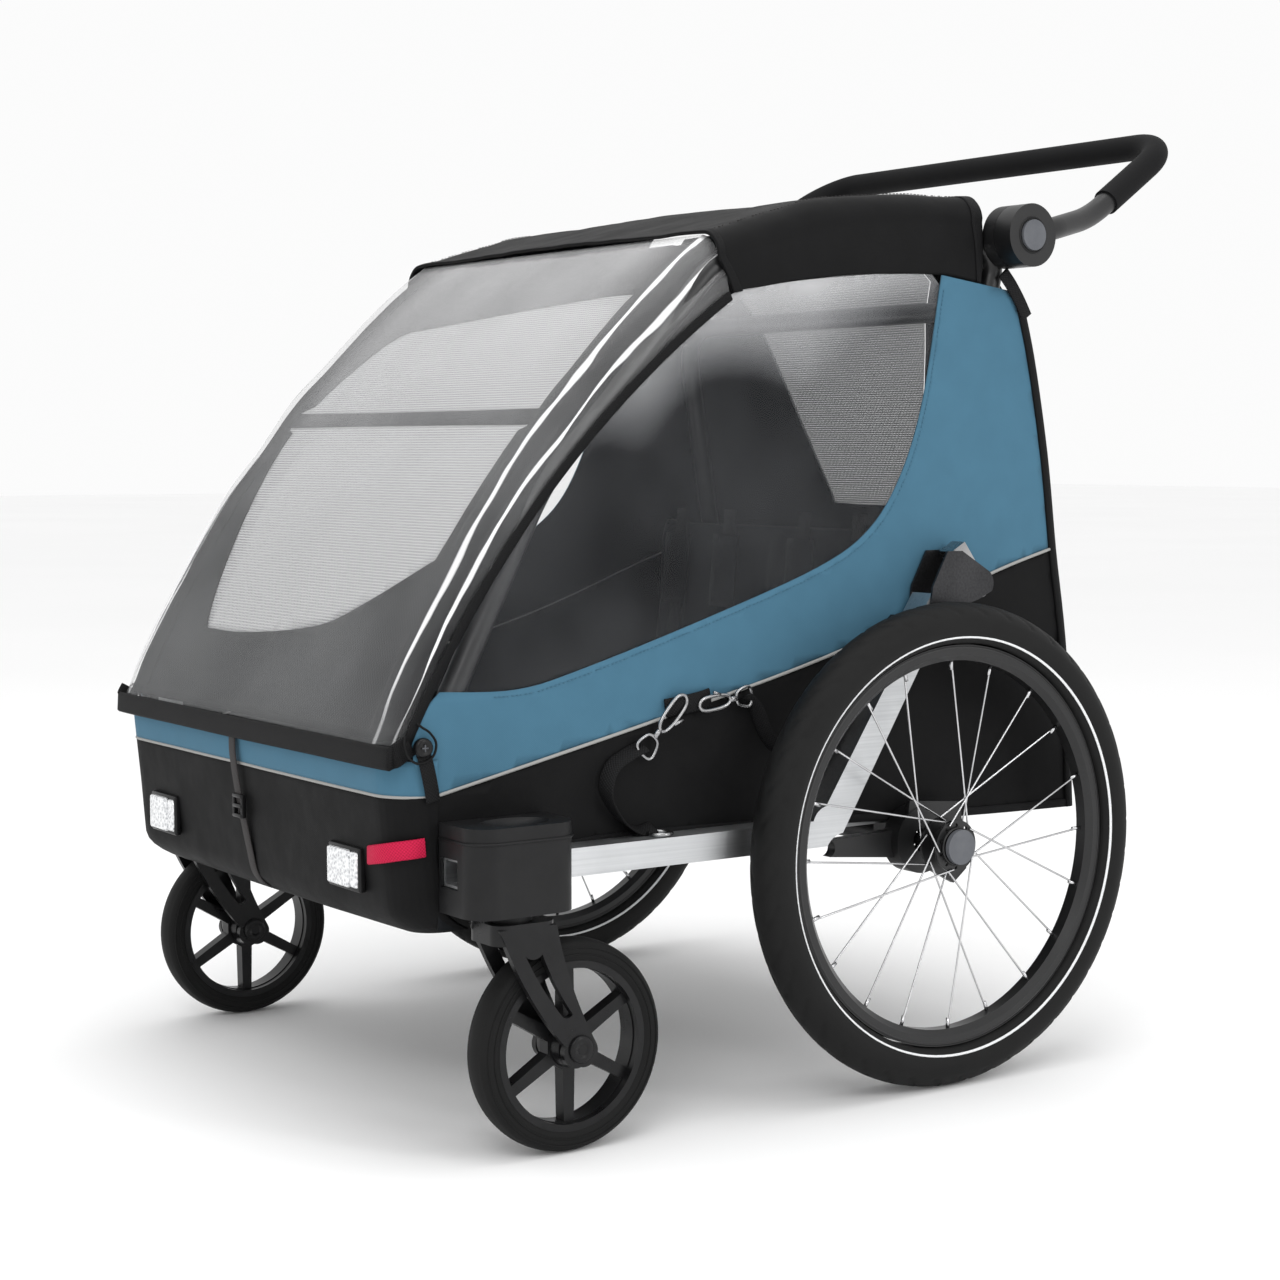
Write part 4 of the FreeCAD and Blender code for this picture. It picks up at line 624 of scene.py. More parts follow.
def dress_nodes():
    """Gives every CAD node its material, and a small round on hard edges."""
    for material, stems in NODE_LOOKS.items():
        for name, obj in NODES.items():
            if any(name == stem or name.rsplit("_", 1)[0] == stem or name.startswith(stem) for stem in stems):
                obj.data.materials.clear()
                obj.data.materials.append(material)
    arm = NODES["hitch_arm"]
    arm.data.materials.append(BRACKET)
    for face in arm.data.polygons:
        if face.center.z > 0.480 and abs(face.center.x - 0.325) > 0.0145:
            face.material_index = 1
    for name, obj in NODES.items():
        for stem, width in ROUNDED.items():
            if name.startswith(stem):
                edge = obj.modifiers.new("round", "BEVEL")
                edge.width = width * MM
                edge.segments = 3
                edge.limit_method = "ANGLE"
                edge.angle_limit = math.radians(50)
                edge.harden_normals = True


# --- cabin lines, in the side view ------------------------------------------------------------------

HEM, BROW = (-618.0, 388.0), (-243.0, 866.0)
EDGE_LOW, EDGE_HIGH = (-598.0, 388.0), (-232.0, 805.0)
FRONT_LINE = bowed(HEM, BROW, 40.0, 40)
EDGE_LINE = bowed(EDGE_LOW, EDGE_HIGH, 36.0, 40)
CORNER = 34.0
SIDE_X = CABIN - 3.0
PIPE_LINE = smooth([(-576, 337), (-457, 363), (-284, 402), (-81, 453), (104, 519), (204, 547)], 6)
WINDOW_EDGE = smooth([(-562, 434), (-478, 432), (-400, 449), (-260, 490), (-120, 536), (-52, 574), (-10, 630),
                      (20, 710), (42, 826)], 6)
FLAP_LINE = smooth([(-219, 811), (-145, 823), (-60, 832), (20, 836), (80, 833), (135, 813)], 6)
REAR_EDGE = smooth([(237, 262), (226, 424), (207, 547), (192, 650), (171, 751), (150, 822)], 6)
SKIRT_LINE = smooth([(-566, 231), (-500, 246), (-418, 277), (-202, 276), (81, 265), (237, 262)], 6)


SKIRT_Z, SIDE_TALL = 262.0, 560.0
SIDE_FRONT, SIDE_LONG = -590.0, 800.0
SEAM_Z = 547
SLOPE_OUT = (-0.787, 0.617)


def swell(y, z):
    """How far the side cloth stands out between its edges, in mm."""
    across = max(0.0, min(1.0, (z - SKIRT_Z) / SIDE_TALL))
    ahead = max(0.0, min(1.0, (y - SIDE_FRONT) / SIDE_LONG))
    bulge = 1.4 * math.sin(math.pi * across) * math.sin(math.pi * ahead)
    return bulge + 0.7 * ripple((0, y * MM, z * MM), 120, 3.0)


def side_place(side, out=0.0):
    return lambda y, z: at(side * (SIDE_X + 1.5 + out + swell(y, z)), y, z)


FOLD_LOW, FOLD_HIGH = (0, AXLE.y, 0.36), (0, AXLE.y, 0.80)


def fold_with_frame(obj):
    """Bakes the placement of a cloth that is fixed to the base below and to the canopy frame above."""
    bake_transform(obj)
    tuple(FOLD_LOW)
    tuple(FOLD_HIGH)


def settle(obj, body=None, stands_for=None):
    """Puts a piece on its body, or, if none is given, bakes its placement across the fold, and hides the
    model part that it stands for.
    """
    if body:
        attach(obj, body)
    else:
        fold_with_frame(obj)
    if stands_for:
        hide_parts(stands_for)


def declare(outline, cut=0.0):
    """Works out the smallest rectangle that a cloth cut to an outline can be cut from, and its area, but
    keeps neither.
    """
    best = None
    for step in range(0, 180, 3):
        c, s = math.cos(math.radians(step)), math.sin(math.radians(step))
        us, vs = [x * c + y * s for x, y in outline], [y * c - x * s for x, y in outline]
        size = (max(us) - min(us), max(vs) - min(vs))
        if best is None or size[0] * size[1] < best[0] * best[1]:
            best = size
    (area_of(outline) - cut) * MM * MM


# --- cloth ------------------------------------------------------------------------------------------

def cover_place(s, t, out=0.0):
    """Point of the rain cover: s runs round both corners, t from hem to brow."""
    front, edge = along(FRONT_LINE, t), along(EDGE_LINE, t)
    reach = (s - 0.5) * 2
    side = 1 if reach >= 0 else -1
    reach = abs(reach)
    knee = 0.84
    flat_x = SIDE_X + 1.0 - CORNER
    if reach < knee:
        x, y, z = flat_x * reach / knee, front[0], front[1]
        belly = 5.0 * (1 - (reach / knee) ** 2) * math.sin(math.pi * t)
    else:
        angle = (reach - knee) / (1 - knee) * math.pi / 2
        x = flat_x + CORNER * math.sin(angle)
        y, z = mix(edge, front, math.cos(angle) ** 0.8)
        belly = 0.0
    wave = (2.6 * ripple((0, y * MM, z * MM), 95, 11.0 * side) + 1.3 * ripple((x * MM, y * MM, z * MM), 38,
                                                                              5.0))
    calm = min(1.0, t / 0.06, (1 - t) / 0.05)
    strong = 0.35 + 1.1 * max(0.0, 1 - abs(reach - 0.88) / 0.16)
    push = (belly + wave * calm * strong) + out
    spread = max(0.0, (reach - knee) / (1 - knee)) if reach > knee else 0.0
    ahead, above = (SLOPE_OUT[0] * push * (1 - spread), SLOPE_OUT[1] * push * (1 - spread))
    return at(side * (x + push * spread), y + ahead, z + above)


def rain_cover():
    film = grid("rain_cover_film", 90, 120, cover_place, COVER_FILM, size=(0.76, 0.61))
    film = thicken(film, 0.4)
    settle(film, stands_for="rain_cover")
    hem_points = [(-CABIN + 3, -604, 392), (-CABIN + 2, -612, 378), (-CABIN + 14, -618, 377),
                  (-150, -619, 377),
                  (0, -619, 376.5), (150, -619, 377), (CABIN - 14, -618, 377), (CABIN - 2, -611, 378),
                  (CABIN - 1, -594, 388)]
    line = route(hem_points)
    hem = ribbon("rain_cover_hem", line, Vector((0, 0.05, 1)), 22.0, 4.0, BINDING, 0.15)
    settle(hem, "chassis")
    pieces = []
    for name, side in SIDES:
        rim = [at(side * (SIDE_X + 2.4), y, z) for y, z in EDGE_LINE]
        pieces.append(ribbon("edge_" + name, rim, Vector((0.25, -0.75, 0.66)), 11.0, 2.4, BINDING, 0.2))
    binding = joined("rain_cover_binding", pieces)
    settle(binding)


def front_screen():
    """Dark frame with two mesh panes, just under the film, drawn as (x, height up the slope)."""
    long = 620.0
    half = CABIN - 24.0

    def place(u, v, out=-7.0):
        t = v / long
        front = along(FRONT_LINE, t)
        return at(u, front[0] + SLOPE_OUT[0] * out, front[1] + SLOPE_OUT[1] * out)

    frame_outline = [(-half, 6), (half, 6), (half, long - 6), (-half, long - 6)]
    upper = smooth([(-232, 372), (246, 372), (250, 380), (243, 520), (238, 534), (150, 531), (-100, 506),
                    (-172, 494),
                    (-206, 446), (-232, 384)], 3, True)
    lower = smooth([(-238, 352), (238, 352), (238, 344), (236, 250), (233, 196), (222, 184), (140, 136),
                    (70, 108),
                    (-60, 92), (-150, 90), (-176, 100), (-204, 180), (-232, 290), (-238, 344)], 3, True)
    border = panel("front_screen_border", frame_outline, place, SCREEN, [upper, lower], 16.0, 1.2, LINING)
    settle(border, stands_for="front_screen")
    declare(frame_outline,
            cut=area_of(upper) + area_of(lower))
    for name, side in SIDES:
        start = 0.5 + side * 0.5 * 0.78
        strip = grid("front_screen_corner_" + name, 60, 14,
                     lambda s, t: cover_place(start + (0.5 + side * 0.4985 - start) * s, 0.01 + 0.98 * t,
                                              -7.0),
                     SCREEN, 1.2, LINING, (0.11, 0.61))
        settle(strip)
    for name, loop in (("upper", upper), ("lower", lower)):
        pane = panel("front_screen_mesh_" + name, loop, lambda u, v: place(u, v, -8.0), FRONT_MESH, (),
                     20.0, 0.3)
        settle(pane)
        declare(loop)


def side_panels():
    for name, side in SIDES:
        place = side_place(side)
        rim = [p for p in EDGE_LINE if p[1] > 436.0]
        window = WINDOW_EDGE + [p for p in FLAP_LINE[::-1] if p[0] < 40] + rim[::-1]
        blue_loop = PIPE_LINE + [p for p in REAR_EDGE if p[1] > 549] + [(120, 826),
                                                                        (44, 836)] + WINDOW_EDGE[::-1][1:]
        blue_loop += [(-584, 414), (-592, 398), (-589, 368), (-580, 340)]
        blue = panel("upper_side_cloth_" + name, blue_loop, place, BLUE, (), 15.0, 1.6, LINING, -side)
        settle(blue, stands_for="upper_side_" + name)
        declare(blue_loop)
        pane = panel("side_window_" + name, window, side_place(side, -1.6), WINDOW_FILM, (), 15.0, 0.4,
                     None, -side)
        settle(pane)
        declare(window)
        black_loop = SKIRT_LINE + [p for p in REAR_EDGE if 264 < p[1] < 545] + PIPE_LINE[::-1]
        black = panel("lower_side_cloth_" + name, black_loop, place, BLACK, (), 16.0, 1.6, LINING, -side)
        settle(black, stands_for="lower_side_" + name)
        declare(black_loop)
        cord_line = [place(y, z) + Vector((side * 0.0012, 0, 0)) for y, z in PIPE_LINE]
        piping = rod("side_piping_" + name, cord_line, 1.7, PIPING, 8)
        settle(piping)
        tape = [place(y, z) + Vector((side * 0.0008, 0, 0)) for y, z in REAR_EDGE]
        edge = ribbon("rear_binding_" + name, tape, Vector((0, 1, 0.15)), 10.0, 4.0, BINDING, 0.2)
        settle(edge)
        seam = [place(y + 4, z - 5) + Vector((side * 0.0007, 0, 0)) for y, z in WINDOW_EDGE[4:]]
        stitch = stitches("window_stitching_" + name, seam, BLUE)
        settle(stitch)
        hem = [place(y, z + 4) + Vector((side * 0.0008, 0, 0)) for y, z in SKIRT_LINE]
        low = ribbon("skirt_hem_" + name, hem, Vector((0, 0, 1)), 9.0, 2.6, BINDING, 0.2)
        settle(low, "chassis")


def stitches(name, line, material, long=3.2, gap=1.6):
    """A row of short raised stitches along 3-D points in metres."""
    step, left = (long + gap) * MM, 0.0
    verts, faces = [], []
    for a, b in zip(line, line[1:]):
        way = b - a
        run = way.length
        if run < 1e-6:
            continue
        way.normalize()
        side = way.cross(Vector((1, 0, 0))).normalized() * 0.0004
        place = left
        while place < run:
            start, end = a + way * place, a + way * min(place + long * MM, run)
            base = len(verts)
            for point in (start, end):
                for u, v in ((-1, 0), (0, 1), (1, 0), (0, -1)):
                    verts.append(point + side * u + side.cross(way) * v)
            faces += [(base + k, base + (k + 1) % 4, base + 4 + (k + 1) % 4, base + 4 + k) for k in range(4)]
            faces += [(base + 3, base + 2, base + 1, base), (base + 4, base + 5, base + 6, base + 7)]
            place += step
        left = place - run
    return new_object(name, verts, faces, material)


ROOF_TOP = smooth([(-247, 868), (-209, 879), (-159, 894), (-101, 909), (-20, 917), (97, 921)], 8)
ROOF_LOW = smooth([(-226, 808), (-170, 819), (-81, 831), (-10, 835), (50, 836), (100, 829)], 8)


def roof_place(s, t, out=0.0):
    """Point of the roof: s runs from the left flap's edge over the top to the right one's."""
    top, low = along(ROOF_TOP, t), along(ROOF_LOW, t)
    reach = abs(s - 0.5) * 2
    side = 1 if s >= 0.5 else -1
    knee, corner = 0.70, 26.0
    flat_x = CABIN - corner
    if reach < knee:
        share = reach / knee
        x, y, z = flat_x * share, top[0], top[1]
        z += 3.0 * (1 - share ** 2) - 2.0 * math.sin(math.pi * share) ** 2
    elif reach < 0.82:
        angle = (reach - knee) / 0.12 * math.pi / 2
        x = flat_x + corner * math.sin(angle)
        y, z = top[0], top[1] - corner * (1 - math.cos(angle))
    else:
        share = (reach - 0.82) / 0.18
        y, z = mix((top[0], top[1] - corner), low, share)
        x = CABIN - 1.0 + 2.2 * math.sin(math.pi * share) - 2.5 * share
    wave = 1.5 * ripple((x * MM, y * MM, z * MM), 70, 2.0) + 0.8 * ripple((x * MM, y * MM, z * MM), 28, 7.0)
    if reach < 0.75:
        return at(side * x, y, z + wave + out)
    return at(side * (x + wave + out), y, z)


def roof_cover():
    roof = grid("roof_cloth_cover", 40, 150, roof_place, ROOF, 2.0, LINING, (0.82, 0.35))
    settle(roof, stands_for="roof_cover")
    band = grid("roof_front_band", 6, 150, lambda s, t: roof_place(s, t * 0.055, 1.6), BINDING, 1.6, None,
                (0.82, 0.02))
    rear = grid("roof_rear_band", 4, 150, lambda s, t: roof_place(s, 0.965 + t * 0.035, 1.2), BINDING, 1.4,
                None,
                (0.82, 0.012))
    bands = joined("roof_bands", [band, rear])
    settle(bands)
    rows = []
    for s in (0.5 - 0.352, 0.5 + 0.352):
        rows.append(stitches("row", [roof_place(s, 0.06 + 0.9 * i / 60, 0.6) for i in range(61)], WEB_GREY))
    seam = joined("roof_stitching", rows)
    settle(seam)


def rear_y(z):
    profile = [(262, 237), (424, 226), (547, 208), (650, 193), (751, 171), (822, 151), (870, 131), (914, 106)]
    line = smooth([(float(a), float(b)) for a, b in profile], 6)
    for (z0, y0), (z1, y1) in zip(line, line[1:]):
        if z <= z1:
            return y0 + (y1 - y0) * max(0.0, (z - z0)) / (z1 - z0)
    return line[-1][1]


def rear_place(x, z, out=0.0):
    """Point of the rear cloth, rounded into the sides."""
    edge = max(0.0, abs(x) - (CABIN - 34.0)) / 30.0
    belly = 7.0 * (1 - (x / CABIN) ** 2) * math.sin(math.pi * min(1.0, max(0.0, (z - SKIRT_Z) / SIDE_TALL)))
    return at(x, rear_y(z) + belly + out - 9.0 * edge ** 2 + 1.2 * ripple((x * MM, 0, z * MM), 110, 9.0), z)


def rear_cloth():
    half = CABIN - 3.0
    mesh_loop = smooth([(-165, 852), (0, 858), (165, 852), (150, 800), (112, 690), (72, 602), (56, 590),
                        (-56, 590),
                        (-72, 602), (-112, 690), (-150, 800)], 3, True)
    upper = [(-half, 548), (half, 548), (half - 2, 700), (half - 4, 812), (half - 20, 826), (272, 846),
             (268, 900),
             (240, 913), (0, 917), (-240, 913), (-268, 900), (-272, 846), (20 - half, 826), (4 - half, 812),
             (2 - half, 700)]
    cloth = panel("rear_upper_cloth", upper, rear_place, BLACK, [mesh_loop], 16.0, 1.6, LINING, 1.0)
    settle(cloth, stands_for="rear_panel")
    declare(upper, cut=area_of(mesh_loop))
    pane = panel("rear_mesh_window", mesh_loop, lambda u, v: rear_place(u, v, -1.0), REAR_MESH, (), 20.0, 0.3)
    settle(pane)
    declare(mesh_loop)
    lower = [(-half, 262), (half, 262), (half, 546), (-half, 546)]
    black = panel("rear_lower_cloth", lower, rear_place, BLACK, (), 16.0, 1.6, LINING, 1.0)
    settle(black)
    declare(lower)
    seam = rod("rear_piping", [rear_place(x, SEAM_Z, 1.4) for x in range(-296, 297, 8)], 1.7, PIPING, 8)
    settle(seam)


def rear_pocket():
    """Mesh pocket with a padded lip, open at the top."""
    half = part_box("rear_pocket")[1].x * 1000 - 3.0

    def bag(s, t):
        x = (s - 0.5) * 2 * half
        z = 300 + 214 * t
        deep = 5.0 + 33.0 * math.sin(min(1.0, t * 1.25) * math.pi / 2) ** 0.8
        deep *= 1 - 0.55 * (abs(s - 0.5) * 2) ** 6
        sag = 4.0 * ripple((x * MM, 0, z * MM), 90, 4.0)
        return at(x, rear_y(z) + 8.0 + deep + sag * 0.4, z - (6.0 * math.cos(math.pi * (s - 0.5)) * t))

    net = grid("rear_pocket_net", 26, 60, bag, POCKET_MESH, 1.0, None, (0.53, 0.23))
    settle(net, stands_for="rear_pocket")
    lip = ribbon("rear_pocket_lip", [bag(i / 60, 1.0) for i in range(61)], Vector((0, 0, 1)), 16.0, 4.0,
                 BINDING, 0.3)
    settle(lip)


def nose_path(z, out=0.0):
    """Plan of the nose at one height, from the left side round the front to the right, as points."""
    low = (-598.0, 214.0)
    share = (z - low[1]) / (366.0 - low[1])
    front = low[0] - 14.0 * share - out
    if z < 236:
        front += (236 - z) ** 2 / 26.0
    corner, half = 40.0, CABIN - 0.5 + out
    points = [(half, -566.0)]
    for k in range(9):
        angle = math.pi / 2 * k / 8
        points.append((half - corner + corner * math.cos(angle), front + corner - corner * math.sin(angle)))
    points += [(x, front) for x in range(240, -241, -40)]
    for k in range(9):
        angle = math.pi / 2 * (1 - k / 8)
        points.append((corner - half - corner * math.cos(angle), front + corner - corner * math.sin(angle)))
    points.append((-half, -566.0))
    return points


def nose_place(low, high, out=0.0):
    def place(s, t):
        z = low + (high - low) * t
        x, y = along(nose_path(z, out), s)
        wave = 1.4 * ripple((x * MM, y * MM, z * MM), 80, 6.0)
        drop = 0.0
        if z < 232:
            drop = 6.0 * math.sin(math.pi * s) - 3.0
        return at(x, y - wave, z - drop)
    return place


def nose():
    band_low = 339.0
    black = grid("nose_lower_cloth", 22, 130, nose_place(211, band_low), BLACK, 1.6, LINING, (0.78, 0.13),
                 offset=1.0)
    settle(black, "chassis", "nose_panel")
    blue = grid("nose_blue_band", 6, 130, nose_place(band_low, 372), BLUE, 1.6, LINING, (0.78, 0.03),
                offset=1.0)
    settle(blue, "chassis")
    line = [nose_place(band_low, 372)(i / 130, 0) + Vector((0, -0.0012, 0)) for i in range(131)]
    piping = rod("nose_piping", line, 1.6, PIPING, 8)
    settle(piping, "chassis")
    seams = []
    for i in (26, 104):
        place = nose_place(211, band_low, 0.8)
        seams.append(stitches("seam", [place(i / 130, 0.04 + 0.92 * k / 20) for k in range(21)], WEB_GREY))
    seam = joined("nose_stitching", seams)
    settle(seam, "chassis")


# --- trim -------------------------------------------------------------------------------------------

def reflectors():
    parts = []
    low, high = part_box("front_reflectors")
    wide = 0.058
    for name, side in SIDES:
        outer = high.x if side > 0 else low.x
        x0, x1 = sorted((outer, outer - side * wide))
        y = low.y
        clip = block("clip", (x0 - 0.002, y + 0.0015, low.z - 0.002),
                     (x1 + 0.002, high.y + 0.002, high.z + 0.002),
                     SATIN_PLASTIC, 2.0)
        pane = block("pane", (x0 + 0.001, y - 0.0025, low.z + 0.001),
                     (x1 - 0.015, y + 0.004, high.z - 0.001), LENS, 3.0)
        side_pane = block("pane", (x1 - 0.0145, y - 0.0010, low.z + 0.002),
                          (x1 - 0.001, y + 0.004, high.z - 0.002),
                          LENS, 2.5)
        parts += [clip, pane, side_pane]
    group = joined("front_reflector_lamps", parts)
    settle(group, "chassis", "front_reflectors")


def pull_tab():
    points = [(244, -601, 280), (250, -608, 281), (266, -612, 284), (282, -611, 287), (296, -604, 290),
              (305, -592, 292), (307, -580, 293)]
    line = route(points)
    tab = ribbon("pull_tab_loop", line, Vector((0, 0, 1)), 18.0, 2.2, RED)
    settle(tab, "chassis", "pull_tab")


def front_strap():
    x = (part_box("front_strap")[0].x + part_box("front_strap")[1].x) / 2 * 1000
    points = [(x, -617, 372), (x, -617, 350), (x + 3, -614, 318), (x + 8, -611, 290), (x + 12, -605, 252),
              (x + 14, -599, 226), (x + 14, -584, 212), (x + 14, -560, 214)]
    line = route(points)
    strap = ribbon("front_strap_webbing", line, Vector((1, 0, 0)), 14.0, 1.8, WEB_GREY)
    settle(strap, "chassis", "front_strap")
    bars = []
    for z in (286, 296, 306):
        bars.append(block("bar", at(x - 3, -617, z - 2), at(x + 17, -611, z + 2), SATIN_PLASTIC, 1.4))
    bars.append(block("rail", at(x - 4, -616, 284), at(x - 0.5, -611, 308), SATIN_PLASTIC, 1.2))
    bars.append(block("rail", at(x + 14.5, -616, 284), at(x + 18, -611, 308), SATIN_PLASTIC, 1.2))
    buckle = joined("front_strap_buckle", bars)
    settle(buckle, "chassis")


def cover_toggles():
    parts = []
    for name, side in SIDES:
        x = side * (CABIN + 1.0)
        centre = at(x, -583, 385)
        parts.append(turned("disc", [(0, 0), (0, 9), (3, 9.4), (6, 8.6), (7.4, 6.4), (6.2, 4.4), (6.6, 0)],
                            centre,
                            (side, 0, 0), SATIN_PLASTIC, 40))
        for turn in range(2):
            angle = turn * math.pi / 2
            way = Vector((0, math.cos(angle), math.sin(angle))) * 0.0032
            lift = Vector((side * 0.0068, 0, 0))
            parts.append(rod("cross", [centre + lift - way, centre + lift + way], 0.7, GREY_PLASTIC, 6))
        tab = [at(x + side * 1.0, -584, 386), at(x + side * 2.2, -580, 372), at(x + side * 2.4, -575, 350),
               at(x + side * 1.6, -572, 334)]
        parts.append(ribbon("tab", eased(tab), Vector((0, 1, 0.3)), 15.0,
                            2.2, WEB))
        loop = [(x - side * 0.5, -600, 396), (x + side * 4, -603, 388), (x + side * 5, -599, 377),
                (x + side * 4.5, -588, 371), (x + side * 4, -574, 376), (x + side * 4, -570, 388),
                (x + side * 4, -576, 398), (x + side * 2, -584, 404), (x - side * 1, -588, 408)]
        parts.append(rod("loop", route(loop), 1.2, WEB, 8))
    group = joined("cover_toggles_and_loops", parts)
    settle(group, "chassis", "cover_buttons")


def snap_hook(start, end, out):
    """A spring hook between two points: a long loop of wire with a gate, a swivel and a D eye."""
    way = (end - start).normalized()
    side = Vector((0, way.z, -way.y)) if abs(way.x) < 0.9 else Vector((0, 1, 0))
    length = (end - start).length
    loop = []
    for u, v in smooth([(0.34, 0.0), (0.40, 0.085), (0.62, 0.12), (0.90, 0.10), (0.99, 0.0), (0.90, -0.10),
                        (0.62, -0.11), (0.42, -0.075)], 6, True):
        loop.append(start + way * (u * length) + side * (v * length) + out * 0.001)
    body = rod("body", loop, 1.9, STEEL, 10, True)
    swivel = rod("swivel", [start + way * (length * 0.20), start + way * (length * 0.36)], 3.0, STEEL, 14)
    eye_loop = []
    for u, v in smooth([(-0.10, -0.13), (-0.02, -0.17), (0.16, -0.11), (0.20, 0.0), (0.16, 0.11),
                        (-0.02, 0.17),
                        (-0.10, 0.13), (-0.12, 0.0)], 5, True):
        eye_loop.append(start + way * (u * length) + side * (v * length))
    eye = rod("eye", eye_loop, 1.7, STEEL, 10, True)
    lever = rod("lever", [start + way * (length * 0.55) + side * (0.13 * length) + out * 0.002,
                          start + way * (length * 0.70) + side * (0.19 * length) + out * 0.003], 1.4, STEEL,
                          8)
    return [body, swivel, eye, lever]


def safety_straps():
    x = CABIN + 6.5
    out = Vector((1, 0, 0))
    hooks = snap_hook(at(x + 1, -338, 368), at(x + 1, -292, 416), out)
    hooks += snap_hook(at(x + 1, -218, 411), at(x + 1, -276, 405), out)
    group = joined("snap_hook_pair", hooks)
    settle(group, "chassis", "snap_hooks")
    front = [(x, -329, 290), (x + 1, -346, 288), (x + 2, -368, 300), (x + 3, -384, 321), (x + 3, -386, 338),
             (x + 2, -377, 354), (x + 1, -358, 364), (x, -340, 370)]
    front_line = route(front)
    strap = ribbon("safety_strap_front_web", front_line, Vector((1, 0.5, -0.6)), 17.0, 2.0, WEB)
    settle(strap, "chassis", "safety_strap_front")
    back = [(x, -218, 411), (x, -204, 398), (x, -192, 374), (x, -176, 357), (x, -150, 352), (x, -112, 370),
            (x, -76, 420), (x + 1, -48, 462), (x + 3, -26, 484)]
    back_line = route(back)
    rear = ribbon("safety_strap_rear_web", back_line, Vector((1, 0.4, 0.5)), 17.0, 2.0, WEB)
    settle(rear, "chassis", "safety_strap_rear")
    tab = [at(CABIN + 2, -312, 404), at(CABIN + 5, -300, 406), at(CABIN + 7, -286, 408),
           at(CABIN + 5, -270, 410),
           at(CABIN + 2, -258, 412)]
    loop = ribbon("strap_keeper", eased(tab), Vector((0, -0.2, 1)), 19.0,
                  2.4, WEB)
    settle(loop, "chassis")


# --- wheels -----------------------------------------------------------------------------------------

def tyre(name, side):
    """Tyre with slanted grooves over the tread."""
    low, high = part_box("wheel_tyre_" + name)
    centre = (low + high) / 2
    outer = (high.z - low.z) / 2 * 1000
    section = (high.x - low.x) / 2 * 1000
    middle = outer - section
    blocks, steps, ring, reach = 44, 528, 44, 2.45
    verts, faces = [], []
    for i in range(steps):
        turn = 2 * math.pi * i / steps
        for k in range(ring):
            lean = -reach + 2 * reach * k / (ring - 1)
            across = math.sin(lean)
            tread = max(0.0, 1 - abs(lean) / 1.25)
            phase = (blocks * turn / (2 * math.pi) + 0.95 * abs(lean) + (0.5 if lean > 0 else 0.0)) % 1.0
            groove = 0.0
            if 0.16 < abs(lean) < 0.98:
                groove = max(0.0, 1 - abs(phase - 0.5) / 0.13) * 1.5
            rib = 0.5 * max(0.0, 1 - abs(abs(lean) - 1.18) / 0.05)
            radius = section - 0.15 - groove + rib * 0.6
            r = middle + radius * math.cos(lean)
            x = radius * across
            verts.append(centre + Vector((x * MM, -r * MM * math.sin(turn), r * MM * math.cos(turn))))
    for i in range(steps):
        for k in range(ring - 1):
            a, b = i * ring + k, i * ring + k + 1
            c, d = ((i + 1) % steps) * ring + k + 1, ((i + 1) % steps) * ring + k
            faces.append((a, d, c, b))
        a, b = i * ring, i * ring + ring - 1
        c, d = ((i + 1) % steps) * ring + ring - 1, ((i + 1) % steps) * ring
        faces.append((a, b, c, d))
    obj = new_object("tyre_" + name, verts, faces, TYRE)
    settle(obj, "wheel_" + name, "wheel_tyre_" + name)
    lines = []
    for way in (-1, 1):
        lean = math.radians(122)
        r, x = middle + (section + 0.25) * math.cos(lean), (section + 0.25) * math.sin(lean)
        r2, x2 = middle + (section + 0.3) * math.cos(lean - 0.10), (section + 0.3) * math.sin(lean - 0.10)
        profile = [(way * x, r), (way * (x + 0.3), (r + r2) / 2), (way * x2, r2), (way * (x2 - 0.8), r2),
                   (way * (x - 0.8), r)]
        lines.append(turned("line", profile, centre, (1, 0, 0), STRIPE, 128, True))
    band = joined("tyre_stripes_" + name, lines)
    settle(band, "wheel_" + name)
    rim_low, rim_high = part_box("wheel_rim_" + name)
    rim_outer = (rim_high.z - rim_low.z) / 2 * 1000
    rim_half = (rim_high.x - rim_low.x) / 2 * 1000
    edges = []
    for way in (-1, 1):
        profile = [(way * (rim_half + 0.35), rim_outer - 1.2), (way * (rim_half + 0.35), rim_outer - 3.4),
                   (way * (rim_half - 0.5), rim_outer - 3.6), (way * (rim_half - 0.5), rim_outer - 1.0)]
        edges.append(turned("line", profile, centre, (1, 0, 0), DARK_METAL, 128, True))
    shine = joined("rim_lines_" + name, edges)
    settle(shine, "wheel_" + name)
    nipples = []
    for i in range(20):
        angle = 2 * math.pi * i / 20
        flange = 1 if i % 2 else -1
        out = Vector((0, math.cos(angle), math.sin(angle)))
        base = centre + out * ((rim_outer - 15.5) * MM) + Vector((flange * 0.0025, 0, 0))
        nipples.append(rod("nipple", [base, base - out * 0.011], 2.0, SPOKE, 8))
    group = joined("spoke_nipples_" + name, nipples)
    settle(group, "wheel_" + name)
    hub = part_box("wheel_hub_" + name)
    face = hub[1].x if side > 0 else hub[0].x
    hub_centre = Vector((face, centre.y, centre.z))
    collar = turned("hub_collar_" + name, [(-2, 20), (2.2, 20), (3.2, 19), (3.2, 18.6), (-2, 18.6)],
                    hub_centre,
                    (side, 0, 0), DARK_METAL, 48, True)
    settle(collar, "wheel_" + name)


